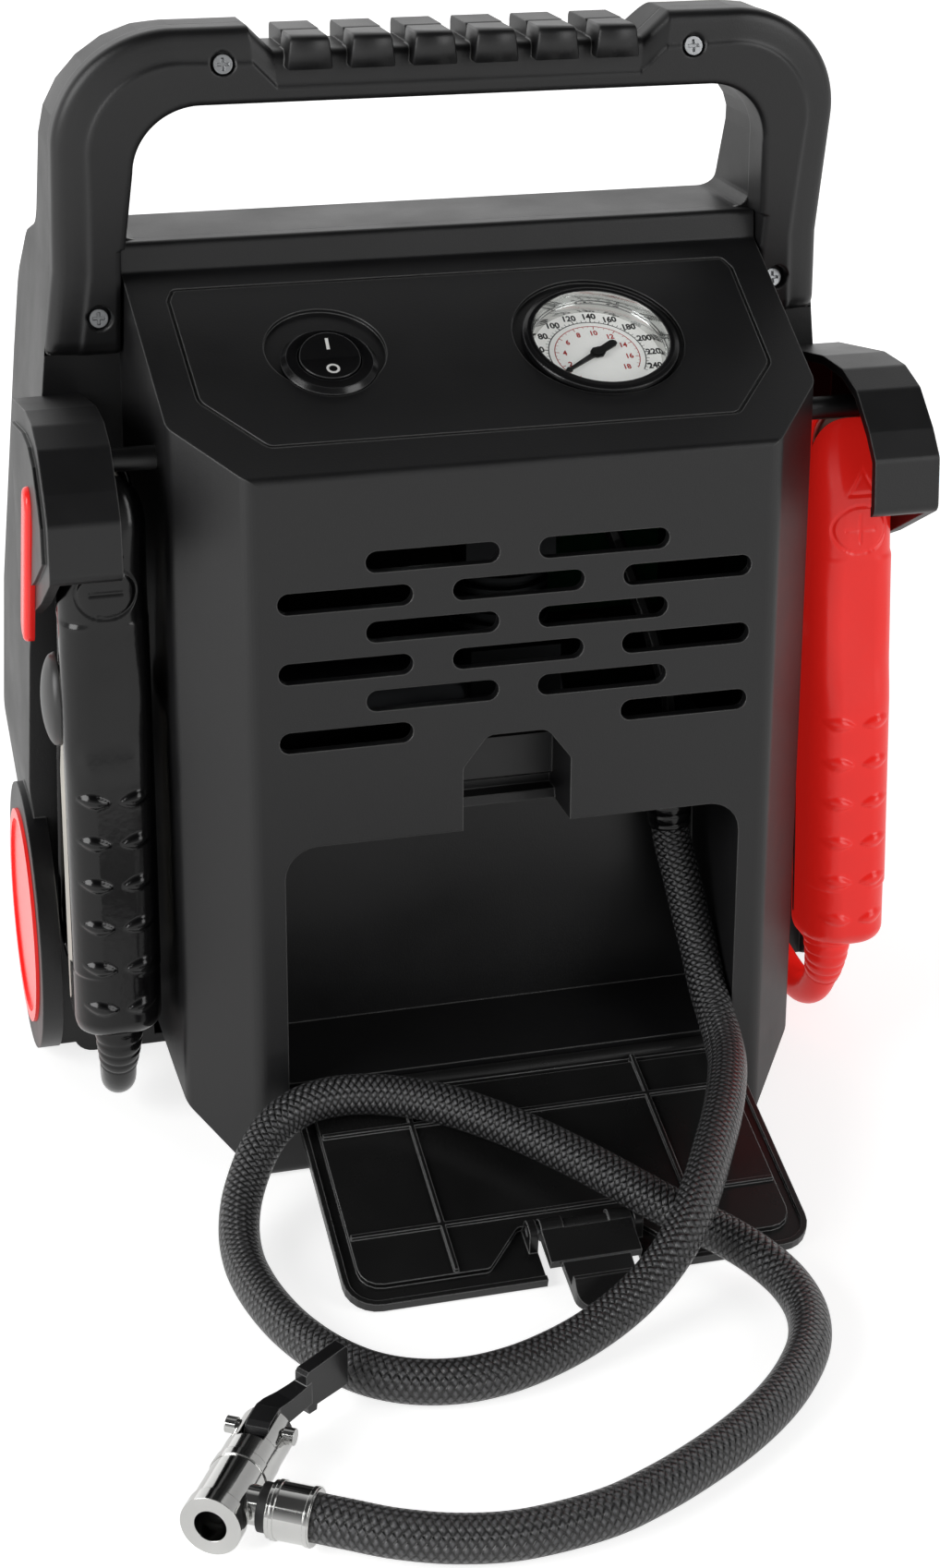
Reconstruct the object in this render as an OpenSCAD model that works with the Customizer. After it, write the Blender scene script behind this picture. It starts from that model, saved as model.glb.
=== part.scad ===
// Jump starter pack with air compressor, jump clamps, tyre hose and work lamp.
// Millimetres. X runs to the right, Y away from the instrument side, Z up.
// Solids are drawn with the rear face on the plane y = 0 and then moved by in_frame().

/* [Housing] */
// Half width of the flat rear face
face_half_w = 72.7; // [68:0.1:76]
// Half width of the rear housing where it meets the front housing
body_half_w = 92.8; // [90:0.1:95]
// Depth of the slanted corners beside the rear face
corner_depth = 20.6; // [16:0.1:24]
// Height of the top edge of the rear face
face_h = 203.8; // [200:0.1:207]
// Slope of the instrument panel, degrees
panel_slope = 26.1; // [24:0.1:28]
// Depth at which the panel ends in the ridge
ridge_y = 77.5; // [76:0.1:80]
// Height of the ridge behind the panel
ridge_h = 250; // [246:0.5:254]
// Distance from the rear face to the joint between the housings
joint_y = 84; // [83:0.5:88]
// Depth of the whole body
body_depth = 152; // [151:0.5:158]
// Wall thickness of the housings
wall = 3; // [2.4:0.1:3.4]

/* [Handle] */
// Height of the handle above the ground
handle_h = 311; // [306:0.5:320]
// Half width over the handle legs
handle_half_w = 111.5; // [110:0.5:114]
// Half width of the hand opening
window_half_w = 92; // [86:0.5:93]
// Height of the handle bar from its underside to its top
bar_h = 21; // [18:0.5:25]
// Outer corner radius of the handle
handle_corner_r = 32.5; // [24:0.5:36]
// Corner radius of the hand opening
window_corner_r = 19; // [10:0.5:20]
// Lean of the handle towards the user, degrees
handle_lean = 13; // [10:0.5:15]
// Depth of the near half shell of the handle
near_shell_depth = 12; // [10:0.5:14]
// Width of one grip pad
pad_w = 10.5; // [8:0.1:12]
// Distance between the centres of the grip pads
pad_pitch = 17.2; // [15:0.1:17.4]
// Height of the grip pads above the trough between them
pad_rise = 4.3; // [2:0.1:5]

/* [Vents] */
// Length of one vent slot
slot_len = 36.5; // [28:0.5:38]
// Width of one vent slot
slot_w = 6; // [4:0.1:6.5]
// Distance between neighbouring slot columns
slot_pitch_x = 23.7; // [22:0.1:24.4]
// Distance between slot rows
slot_pitch_z = 9.8; // [9:0.1:10.4]
// Height of the lowest slot row
slot_base_z = 130.3; // [130:0.1:134]

/* [Hose compartment] */
// Half width of the compartment
bay_half_w = 64.7; // [62:0.1:66]
// Height of the compartment floor
bay_floor = 26.3; // [25:0.1:30]
// Height of the compartment ceiling
bay_top = 99.5; // [96:0.1:100]
// Depth of the compartment
bay_depth = 38; // [34:0.5:38]
// Radius of the two upper corners of the opening
bay_corner_r = 9; // [6:0.5:12]
// Half width of the latch notch above the opening
notch_half_w = 15.2; // [14.5:0.1:16]
// Height of the latch notch
notch_top = 127; // [124:0.5:127]

/* [Door] */
// Height of the hinge axis of the door
hinge_z = 23.4; // [22:0.1:24]
// Thickness of the door's skin
door_skin = 1.6; // [1.4:0.1:1.8]
// Gap round the closed door
door_gap = 0.8; // [0.5:0.1:1.2]
// Radius of the hinge bead along the door's lower edge
bead_r = 2.3; // [2:0.1:2.4]
// Radius of the hinge pins
hinge_pin_r = 1; // [0.8:0.1:1.2]
// Width of the latch clip
clip_w = 25; // [22:0.5:26]
// Length of the latch clip beyond its pivot
clip_len = 27; // [25:0.5:28]

/* [Instruments] */
// Distance of the switch from the middle of the panel
switch_x = 42.5; // [36:0.1:44]
// Distance of the gauge from the middle of the panel
gauge_x = 34.5; // [30:0.1:38]
// Outer diameter of the switch bezel
bezel_d = 26.5; // [24:0.1:30]
// Diameter of the round rocker
rocker_d = 17; // [14:0.1:18]
// Diameter of the gauge glass
gauge_d = 40.5; // [36:0.1:44]
// Length of the gauge needle from hub to tip
needle_len = 14.5; // [12:0.1:16]

/* [Clamps] */
// Distance of the clamps from the middle of the pack
clamp_x = 107; // [106.5:0.1:107.5]
// Width of a clamp sleeve
clamp_w = 24; // [22:0.1:24.4]
// Height of the clamp pivot
clamp_pivot_z = 134; // [132:0.5:136]
// Depth of the clamp pivot
clamp_pivot_y = 44; // [43.5:0.5:44.5]
// Radius of the clamp's rivet
rivet_r = 2.5; // [2:0.1:3]
// Thickness of the steel in the clamp arms
arm_steel = 1.6; // [1.2:0.1:2]
// Radius of the rest rod that the jaws close on
rod_r = 3.3; // [3:0.1:3.4]

/* [Cords] */
// Diameter of the braided air hose
hose_d = 11; // [10:0.5:11]
// Diameter of the jump cables
cable_d = 10; // [8:0.5:10]
// Number of sides of a cord
cord_sides = 10; // [8:2:12]

/* [Chuck] */
// Diameter of the tyre chuck's barrel
chuck_d = 14.8; // [14:0.1:15]
// Diameter of the chuck's bore
chuck_bore_d = 7.9; // [7.7:0.1:8.2]
// Length of the chuck's barrel
chuck_len = 36; // [34:0.5:38]

/* [Battery] */
// Width of the lead-acid battery
battery_w = 151; // [140:1:160]
// Height of the battery box
battery_h = 94; // [85:1:96]

/* [Front fittings] */
// Diameter of the work lamp
lamp_d = 62; // [50:1:70]
// Inner diameter of the 12 V socket
socket_d = 21; // [20.8:0.1:21.5]
// Diameter of the red side discs
disc_d = 64; // [60:0.5:66]

/* [Hidden] */
$fn = 48;

plastic = "#2a2a2b";
dark = "#1b1b1c";
red = "#e8322c";
steel = "#b9bcc0";

// Clearances
fit_gap = 0.3;      // between a moving piece and its neighbour
pin_gap = 0.05;     // running fit round a pin
bite = 0.02;        // how far a cutter passes the face that it cuts

// Where the drawing plane y = 0 lies in the part's own frame: the part is centred in depth
// between the tip of the latch clip on the open door and the socket's cap.
door_len = bay_top - 0.6 - hinge_z;
door_half_w = bay_half_w - door_gap;
hinge_y = 1.5;
door_half_t = 1.3;
door_drop = asin((hinge_z - door_half_t - 0.15) / door_len);
latch_s = 61.5;
latch_x = 2.5;
latch_n = 4.4;
lug_over = 2.2;
cap_rise = 4.5;
clip_tip_y = hinge_y - (latch_s + clip_len) * cos(door_drop) - (latch_n - 0.6) * sin(door_drop);
middle_y = (body_depth + cap_rise + clip_tip_y) / 2;
window_top = handle_h - bar_h;
module in_frame() translate([0, -middle_y, 0]) children();

// ---------- Outline helpers ----------
function unit(v) = v / norm(v);
// The arc that rounds corner b, between its neighbours a and c, with radius r.
function corner(a, b, c, r, n) =
    r <= 0 ? [b] :
    let (
        u = unit(a - b),
        v = unit(c - b),
        half = acos(u * v) / 2,
        centre = b + unit(u + v) * r / sin(half),
        p = b + u * r / tan(half) - centre,
        q = b + v * r / tan(half) - centre,
        start = atan2(p[1], p[0]),
        turn = atan2(q[1], q[0]) - start,
        sweep = turn > 180 ? turn - 360 : turn < -180 ? turn + 360 : turn
    )
    [for (i = [0:n]) centre + r * [cos(start + sweep * i / n), sin(start + sweep * i / n)]];
// An outline of [x, y, corner radius] entries as plain points with rounded corners.
function rounded(o, n = 6) = [
    for (i = [0:len(o) - 1])
        let (
            a = o[(i + len(o) - 1) % len(o)],
            b = o[i],
            c = o[(i + 1) % len(o)]
        )
        each corner([a[0], a[1]], [b[0], b[1]], [c[0], c[1]], b[2], n)
];
// An anticlockwise outline moved inwards by d, with its corner radii made smaller by d.
function inset(o, d) = [
    for (i = [0:len(o) - 1])
        let (
            a = o[(i + len(o) - 1) % len(o)],
            b = o[i],
            c = o[(i + 1) % len(o)],
            e = unit([b[0] - a[0], b[1] - a[1]]),
            f = unit([c[0] - b[0], c[1] - b[1]]),
            m = [-e[1], e[0]],
            n = [-f[1], f[0]],
            k = d / (1 + m * n)
        )
        [b[0] + k * (m[0] + n[0]), b[1] + k * (m[1] + n[1]), max(b[2] - d, 0)]
];
// The right half of a symmetrical outline, closed with its mirror image.
function mirrored(half) =
    concat(half, [for (i = [len(half) - 1:-1:0]) [-half[i][0], half[i][1], half[i][2]]]);

// ---------- Placing helpers ----------
module along_x(x0, x1) translate([x0, 0, 0]) rotate([90, 0, 90]) linear_extrude(x1 - x0) children();
module along_y(y0, y1) translate([0, y1, 0]) rotate([90, 0, 0]) linear_extrude(y1 - y0) children();
module along_z(z0, z1) translate([0, 0, z0]) linear_extrude(z1 - z0) children();
module box(lo, hi) translate(lo) cube(hi - lo);
module both_sides() {
    children();
    mirror([1, 0, 0]) children();
}
module on_side(side) mirror([side < 0 ? 1 : 0, 0, 0]) children();
module rod_x(x0, x1, y, z, r) translate([x0, y, z]) rotate([0, 90, 0]) cylinder(r = r, h = x1 - x0);
module rod_y(y0, y1, x, z, r) translate([x, y1, z]) rotate([90, 0, 0]) cylinder(r = r, h = y1 - y0);
// A stadium, len long and w wide, along X.
module stadium(len, w) {
    square([len - w, w], center = true);
    translate([(len - w) / 2, 0]) circle(d = w);
    translate([(w - len) / 2, 0]) circle(d = w);
}
// Panel coordinates: x as in the frame, y up the slope from the face's top edge, z out of the panel.
module on_panel(x, y) translate([0, 0, face_h]) rotate([panel_slope, 0, 0])
    translate([x, y / cos(panel_slope), 0]) children();
// The handle's near face: y for a height z.
lean = tan(handle_lean);
shell_split_z = ridge_h - 7;
function near_face(z) = joint_y - near_shell_depth + lean * (shell_split_z - z);
function split_face(z) = z < shell_split_z ? joint_y : joint_y + lean * (shell_split_z - z);

// ---------- Swept cords ----------
// Rings of a tube along points p, with a frame that is carried on from ring to ring.
function ring_dir(p, i) = unit(p[min(i + 1, len(p) - 1)] - p[max(i - 1, 0)]);
function carry(n, t) = unit(n - t * (n * t));
function frames(p, n, i = 0) =
    i >= len(p) ? [] :
    let (m = carry(n, ring_dir(p, i))) concat([m], frames(p, m, i + 1));
function tube_points(p, r, sides, first) =
    let (f = frames(p, first))
    [
        for (i = [0:len(p) - 1])
            let (t = ring_dir(p, i), b = cross(t, f[i]))
            for (k = [0:sides - 1]) p[i] + r * (cos(360 * k / sides) * f[i] + sin(360 * k / sides) * b)
    ];
function tube_faces(rings, sides) = concat(
    [for (i = [0:rings - 2]) for (k = [0:sides - 1]) let (a = i * sides + k, b = i * sides + (k + 1) % sides)
        each [[a, b + sides, b], [a, a + sides, b + sides]]],
    [for (k = [1:sides - 2]) [0, k, k + 1]],
    [for (k = [1:sides - 2]) let (s = (rings - 1) * sides) [s, s + k + 1, s + k]]
);
module tube(p, d, sides = cord_sides, first = [1, 0, 0])
    polyhedron(tube_points(p, d / 2, sides, first), tube_faces(len(p), sides), convexity = 10);

// ---------- Housing outlines ----------
// Plan, side and rear outlines of the rear housing; back is where its open end lies.
function rear_plan(back) = [
    [-body_half_w, back, 0], [2.5 - body_half_w, corner_depth, 6], [-face_half_w, 0, 6],
    [face_half_w, 0, 6], [body_half_w - 2.5, corner_depth, 6], [body_half_w, back, 0]
];
function rear_side(back) = [
    [0, 0, 3], [back, 0, 0], [back, ridge_h, 0], [ridge_y + 1, ridge_h, 2],
    [ridge_y, face_h + ridge_y * tan(panel_slope), 1], [0, face_h, 2.5]
];
rear_front = mirrored([
    [face_half_w + 1, 0, 3], [body_half_w - 2.5, 15, 8],
    [body_half_w + 2, 30, 0], [body_half_w + 2, ridge_h + 1, 0]
]);
// The rear housing's outer form, d inside its surface, with its open end at back.
module rear_form(d = 0, back = joint_y) {
    intersection() {
        along_z(-5, ridge_h + 5) polygon(rounded(inset(rear_plan(back + d), d)));
        along_x(-body_half_w - 5, body_half_w + 5) polygon(rounded(inset(rear_side(back + d), d)));
        along_y(-5, back + 5) polygon(rounded(inset(rear_front, d)));
    }
}
// The front housing's outline seen from the rear, with the handle, and its side outline.
grip_half = 59;
grip_step = 7;
trough_z = handle_h - grip_step;
front_outline = mirrored([
    [handle_half_w + 2, 0, 6], [117.5, 30, 14], [124, 88, 40], [122, 130, 40], [115.5, ridge_h - 47, 60],
    [handle_half_w, shell_split_z, 30], [handle_half_w, handle_h, handle_corner_r],
    [grip_half, handle_h, 1], [grip_half - grip_step, trough_z, 1]
]);
window_outline = mirrored([
    [window_half_w, ridge_h, 4],
    [window_half_w - 2, window_top, min(window_corner_r, (window_top - ridge_h) / 2.2)]
]);
bar_far_y = 86;
function front_side(near) = [
    [near, 0, 0], [body_depth - 4, 0, 4], [body_depth, 14, 12], [body_depth, ridge_h - 24, 12],
    [body_depth - 14, ridge_h - 8, 12], [bar_far_y + 26, ridge_h, 16], [bar_far_y, handle_h - 12, 8],
    [bar_far_y - 5, handle_h, 5], [split_face(handle_h), handle_h, 0], [near, shell_split_z, 0]
];

// ---------- Hose compartment and notch ----------
bay_outline = mirrored([[bay_half_w, bay_floor, 1.5], [bay_half_w, bay_top, bay_corner_r]]);
notch_outline = mirrored([
    [notch_half_w, bay_top - 3, 0], [notch_half_w, notch_top - 9, 2], [8.4, notch_top, 4]
]);
notch_depth = 20;
module bay(d, front) {
    along_y(front, bay_depth + d) polygon(rounded(inset(bay_outline, -d)));
    along_y(front, notch_depth + d) polygon(rounded(inset(notch_outline, -d)));
}
// The rebate in the sill that the door's hinge bead lies in.
module hinge_rebate(d)
    let (r = bead_r + 0.4 + d)
    box([-bay_half_w - d, -1 - d, hinge_z - r], [bay_half_w + d, hinge_y + r, bay_floor + 1]);

// ---------- Rear housing ----------
module vent_slots() {
    // Rows from the bottom: 2, 2, 3, 2, 3 and 2 slots in a woven pattern.
    for (row = [0:5]) for (column = vent_columns[row])
        translate([column * slot_pitch_x, slot_base_z + row * slot_pitch_z]) stadium(slot_len, slot_w);
}
vent_columns = [[-2, 2], [-1, 1], [-2, 0, 2], [-1, 1], [-2, 0, 2], [-1, 1]];
panel_groove = mirrored([[65, 12.2, 4], [80.5, 31.8, 6], [82, 73.5, 3], [80, 78.3, 2]]);
handle_screw_x = 66;
handle_screw_z = handle_h - 9.4;
frame_screw_x = 99.1;
frame_screw_z = ridge_h - 20;
module rear_housing() {
    color(plastic) in_frame() difference() {
        union() {
            difference() {
                rear_form();
                rear_form(wall, joint_y + 1);
            }
            intersection() {
                rear_form();
                union() {
                    bay(2.4, 0);
                    hinge_rebate(2.4);
                    // The cradle that the compressor is screwed to.
                    box([motor_x0 + 4, motor_y - 6, bay_top + 2],
                        [motor_x1 - 4, motor_y + 6, motor_z - motor_r + 3]);
                }
            }
        }
        bay(0, -1);
        hinge_rebate(0);
        along_y(-1, wall + 1) vent_slots();
        // Hinge pin holes in both side walls of the opening.
        both_sides() rod_x(bay_half_w - 1, bay_half_w + 2.1, hinge_y, hinge_z, hinge_pin_r + pin_gap);
        // Seats of the switch and the gauge, each with a shallow dish round it.
        on_panel(-switch_x, switch_y) cylinder(r = switch_body_r + 0.1, h = 20, center = true);
        on_panel(-switch_x, switch_y) translate([0, 0, -dish_depth])
            cylinder(r = bezel_d / 2 + fit_gap, h = 5);
        on_panel(-switch_x, switch_y + 5) translate([0, 0, -dish_depth])
            cylinder(r = bezel_d / 2 + 3.5, h = 5);
        on_panel(gauge_x, gauge_y) cylinder(r = gauge_case_r + 0.1, h = 20, center = true);
        on_panel(gauge_x, gauge_y + gauge_dish_rise) translate([0, 0, -dish_depth])
            cylinder(r = gauge_flange_r + gauge_dish_rise + fit_gap, h = 5);
        // The shallow outline that frames the panel.
        on_panel(0, 0) translate([0, 0, -0.8]) linear_extrude(2) difference() {
            polygon(rounded(panel_groove, 4));
            polygon(rounded(inset(panel_groove, 0.9), 4));
        }
        hose_gland_hole();
        both_sides() cable_gland_hole();
        both_sides() rod_x(body_half_w - wall - 5, body_half_w + 5, rod_y_pos, rod_z, rod_r + pin_gap);
        // The motor lies in its cradle.
        rod_x(motor_x0 - 1, motor_x1 + 1, motor_y, motor_z, motor_r + bite);
    }
    // The striker that the latch clip hooks on, and the stop above it.
    color(plastic) in_frame() along_x(-notch_half_w - 1, notch_half_w + 1) {
        polygon([
            [14.2, bay_top + 0.4], [notch_depth + 1, bay_top - 0.4],
            [notch_depth + 1, bay_top + 3], [15, bay_top + 3]
        ]);
        polygon([
            [17.6, bay_top + 7], [notch_depth + 1, bay_top + 5],
            [notch_depth + 1, bay_top + 19], [17.6, bay_top + 19]
        ]);
    }
    color(plastic) in_frame() battery_ribs(battery_near - 2.5, joint_y);
}
switch_y = 39.5;
gauge_y = 41;
switch_body_r = 10;
gauge_case_r = gauge_d / 2 + 0.4;
gauge_flange_r = gauge_case_r + 1.4;
gauge_dish_rise = 1.8;
dish_depth = 1.2;
rod_y_pos = 37;
rod_z = 201;

// ---------- Front housing with the far half of the handle ----------
disc_y = 98;
disc_z = 41;
boss_r = disc_d / 2 + 8;
boss_x = 125.4;
clamp_side = clamp_x + clamp_w / 2 + 0.4;
lamp_z = 188;
socket_x = 52;
socket_z = 128;
button_x = 40;
button_z = 122;
lamp_switch_x = 66;
module front_form(d, near) intersection() {
    along_y(0, body_depth + 5) polygon(rounded(inset(front_outline, d)));
    along_x(-140, 140) polygon(rounded(inset(front_side(near - d), d)));
}
module hand_window() along_y(20, body_depth + 20) polygon(rounded(window_outline));
// One grip pad's side outline over the bar's top edge, between two depths.
function pad_side(y0, y1) = [
    [y0, trough_z - 4.5, 1], [y1, trough_z - 4.5, 1],
    [y1, trough_z + pad_rise, 2], [y0, trough_z + pad_rise, 2]
];
module grip_pads(y0, y1) {
    for (i = [0:5]) let (x = (i - 2.5) * pad_pitch)
        along_x(x - pad_w / 2, x + pad_w / 2) polygon(rounded(pad_side(y0, y1), 4));
}
module front_housing() {
    color(plastic) in_frame() difference() {
        union() {
            front_form(0, joint_y);
            grip_pads(split_face(handle_h) + 1, bar_far_y + 0.8);
            both_sides() difference() {
                rod_x(handle_half_w - 8, boss_x, disc_y, disc_z, boss_r);
                box([0, 0, -5], [clamp_side, joint_y, 100]);
            }
        }
        intersection() {
            front_form(wall, joint_y + wall);
            box([-140, 0, -1], [140, body_depth, ridge_h - wall]);
        }
        box([wall - body_half_w, joint_y - 1, wall],
            [body_half_w - wall, joint_y + wall + 1, ridge_h - wall]);
        // The rear housing's top reaches up to the joint in front of the leaning split.
        box([-body_half_w, joint_y - 20, shell_split_z - 1], [body_half_w, joint_y, ridge_h]);
        hand_window();
        both_sides() rod_x(boss_x - 1.2, boss_x + 5, disc_y, disc_z, disc_d / 2 + 0.1);
        both_sides() on_shell(handle_screw_x, handle_screw_z) cylinder(r = screw_r - 0.02, h = 22);
        both_sides() on_shell(frame_screw_x, frame_screw_z) cylinder(r = screw_r - 0.02, h = 22);
        rod_y(body_depth - 10, body_depth + 5, 0, lamp_z, lamp_d / 2 + 0.1);
        rod_y(body_depth - 10, body_depth + 5, -socket_x, socket_z, socket_d / 2 + 2.1);
        rod_y(body_depth - 10, body_depth + 5, button_x, button_z, button_r + fit_gap);
        box([lamp_switch_x - 10 - fit_gap, body_depth - 10, button_z - 6 - fit_gap],
            [lamp_switch_x + 10 + fit_gap, body_depth + 5, button_z + 6 + fit_gap]);
    }
    color(plastic) in_frame() battery_ribs(joint_y + wall, body_depth - 14);
}

// ---------- Near half shell of the handle ----------
screw_r = 1.5;
screw_head_r = 2.6;
screw_well_r = 3.5;
shell_foot_z = ridge_h - 32;
// A frame on the handle's near face: origin on the face at (x, z), its z axis points into the handle.
module on_shell(x, z) translate([x, near_face(z), z]) rotate([-90 - handle_lean, 0, 0]) children();
bevel_w = 9;
bevel_depth = 7.5;
module leaning_slab(d, front, back) intersection() {
    along_y(30, 110) polygon(rounded(inset(front_outline, d), 5));
    along_x(-130, 130) polygon([
        [near_face(shell_foot_z) + front, shell_foot_z], [near_face(shell_foot_z) + back, shell_foot_z],
        [near_face(handle_h + 5) + back, handle_h + 5], [near_face(handle_h + 5) + front, handle_h + 5]
    ]);
}
module handle_rear_shell() {
    color(plastic) in_frame() difference() {
        union() {
            intersection() {
                union() {
                    leaning_slab(0, bevel_depth, 30);
                    leaning_slab(bevel_w / 3, bevel_depth * 2 / 3, 30);
                    leaning_slab(bevel_w * 2 / 3, bevel_depth / 3, 30);
                    leaning_slab(bevel_w, 0, 30);
                }
                along_x(-130, 130) polygon([
                    [0, shell_foot_z - 5], [joint_y, shell_foot_z - 5], [joint_y, shell_split_z],
                    [split_face(handle_h + 9), handle_h + 9], [0, handle_h + 9]
                ]);
            }
            grip_pads(near_face(trough_z) - 1.6, split_face(handle_h) + 1 - bite);
        }
        hand_window();
        grip_pads(split_face(handle_h) + 1, bar_far_y);
        rear_form(-fit_gap, joint_y + 10);
        box([-body_half_w - fit_gap, 0, 0], [body_half_w + fit_gap, 200, ridge_h]);
        both_sides() on_shell(handle_screw_x, handle_screw_z) {
            translate([0, 0, -1]) cylinder(r = screw_well_r, h = 4);
            cylinder(r = screw_r + 0.1, h = 40);
        }
        both_sides() on_shell(frame_screw_x, frame_screw_z) {
            translate([0, 0, -1]) cylinder(r = screw_well_r, h = 6);
            cylinder(r = screw_r + 0.1, h = 40);
        }
        // The outside of the split, above the trough, belongs to the front housing.
        intersection() {
            front_form(0, joint_y);
            box([-150, 0, 0], [150, 200, 400]);
        }
    }
}
// A pan-head screw whose head stands at depth head below the handle's face.
module shell_screw(head) {
    translate([0, 0, head - 1.8]) difference() {
        cylinder(r = screw_head_r, h = 1.8);
        translate([0, 0, -0.1]) for (a = [0, 90]) rotate([0, 0, a]) box([-1.7, -0.4, 0], [1.7, 0.4, 1]);
    }
    translate([0, 0, head]) cylinder(r = screw_r - 0.02, h = 22 - head);
}
module handle_screws() color(steel) in_frame()
    both_sides() on_shell(handle_screw_x, handle_screw_z) shell_screw(3);
module frame_screws() color(steel) in_frame()
    both_sides() on_shell(frame_screw_x, frame_screw_z) shell_screw(5);

// ---------- Hose door, hinge pins and latch ----------
// Door coordinates: origin on the hinge axis, z along the door, y towards its inner side.
module door_frame() in_frame() translate([0, hinge_y, hinge_z]) rotate([90 + door_drop, 0, 0]) children();
door_outline = mirrored([[door_half_w, 0, 0], [door_half_w, door_len, 9]]);
// The raised inner field of the door, drawn back round the latch.
field_outline = mirrored([
    [door_half_w - 4.5, 5, 2], [door_half_w - 4.5, door_len - 6, 6],
    [25, door_len - 6, 2], [14.5, door_len - 18, 2]
]);
module hose_door() {
    color(plastic) door_frame() difference() {
        union() {
            along_y(-door_half_t, door_skin - door_half_t) polygon(rounded(door_outline));
            along_y(-door_half_t, door_half_t) difference() {
                polygon(rounded(door_outline));
                polygon(rounded(inset(door_outline, 1.6)));
            }
            along_y(-door_half_t, door_half_t + 0.6) polygon(rounded(field_outline, 4));
            // Stiffening ribs along and across the door.
            both_sides() box([33.4, 0, 3], [34.6, door_half_t + 1.6, door_len - 6.5]);
            for (s = [17.9, 53.5])
                box([5 - door_half_w, 0, s - 0.6], [door_half_w - 5, door_half_t + 1.6, s + 0.6]);
            rod_x(-door_half_w, door_half_w, 0, 0, bead_r);
            // The two lugs that carry the latch pin.
            for (x = [-1, 1]) translate([latch_x + x * (clip_w / 2 + 2), 0, 0]) along_x(-1.2, 1.2)
                polygon(rounded([
                    [0, latch_s - 4, 0], [latch_n + lug_over, latch_s - 2.6, 2],
                    [latch_n + lug_over, latch_s + 2.6, 2], [0, latch_s + 4, 0]
                ]));
        }
        both_sides() rod_x(door_half_w - 8, door_half_w + 1, 0, 0, hinge_pin_r);
        rod_x(latch_x - clip_w, latch_x + clip_w, latch_n, latch_s, pin_r);
        // The finger opening in front of the clip.
        box([latch_x - clip_w / 2 - 0.8, -5, latch_s - 3.6], [latch_x + clip_w / 2 + 0.8, 20, door_len + 1]);
    }
}
pin_r = 1.2;
module door_hinge_pins() color(steel) door_frame()
    both_sides() rod_x(door_half_w - 8, bay_half_w + 2, 0, 0, hinge_pin_r);
// Clip coordinates: origin on the latch pin, z along the clip to its tip, y to the door's inner side.
module clip_frame() door_frame() translate([latch_x, latch_n, latch_s]) children();
clip_step = 12;        // where the wide plate narrows to the flap
clip_hook = 20;        // where the hook's holding face stands
hook_rise = 4.5;
flap_half = 0.39 * clip_w;
knuckle_w = 6.2;
knuckle_r = 2.9;
module latch_clip() {
    color(plastic) clip_frame() difference() {
        union() {
            both_sides() rod_x(clip_w / 2 - knuckle_w, clip_w / 2, 0, 0, knuckle_r);
            rod_x(-clip_w / 2, clip_w / 2, 0, 0, pin_r + 0.9);
            // The wide plate, whose upper edge shows between the knuckles.
            along_x(-clip_w / 2, clip_w / 2)
                polygon([[-1.4, 0], [-1.2, clip_step], [1.1, clip_step], [2.2, 1.9], [0, 1.9]]);
            // The flap: a thinner plate that ends in a full-width hook with a ramp down to its tip.
            intersection() {
                along_x(-flap_half, flap_half) polygon([
                    [-1.2, clip_step - 2], [-1.6, clip_len], [0.4, clip_len - 0.3], [hook_rise, clip_hook + 1],
                    [hook_rise, clip_hook], [0.4, clip_hook], [0.7, clip_step - 2]
                ]);
                along_y(-5, 8)
                    polygon(rounded(mirrored([[flap_half, 0, 0], [flap_half - 0.8, clip_len, 4]])));
            }
        }
        rod_x(-clip_w, clip_w, 0, 0, pin_r + pin_gap);
    }
}
module latch_pin() color(steel) door_frame() translate([latch_x, 0, 0])
    rod_x(-clip_w / 2 - 3, clip_w / 2 + 3, latch_n, latch_s, pin_r);

// ---------- Compressor switch ----------
module switch_bezel() {
    color(dark) in_frame() on_panel(-switch_x, switch_y) difference() {
        union() {
            translate([0, 0, -dish_depth]) rotate_extrude() polygon([
                [0, 0], [bezel_d / 2, 0], [bezel_d / 2, 1.4], [bezel_d / 2 - 1.4, 2.6], [0, 2.6]
            ]);
            translate([0, 0, -18]) cylinder(r = switch_body_r, h = 18);
            for (x = [-5, 0, 5]) translate([x, 0, -25]) box([-0.4, -2.4, 0], [0.4, 2.4, 8]);
        }
        translate([0, 0, -5.5]) cylinder(r = rocker_d / 2 + fit_gap, h = 20);
    }
}
rocker_tilt = 8;
module rocker_ball() sphere(r = rocker_d / 2, $fn = 64);
module switch_rocker() {
    // Rocks on the panel's x axis, 1 mm below the bezel's top; drawn with its lower half pressed.
    color(dark) in_frame() on_panel(-switch_x, switch_y)
    translate([0, 0, 0.4]) rotate([rocker_tilt, 0, 0]) intersection() {
        rocker_ball();
        along_x(-20, 20) polygon([[-20, -4], [20, -4], [20, 4.2], [0, 1.6], [-20, 4.2]]);
    }
}

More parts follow.
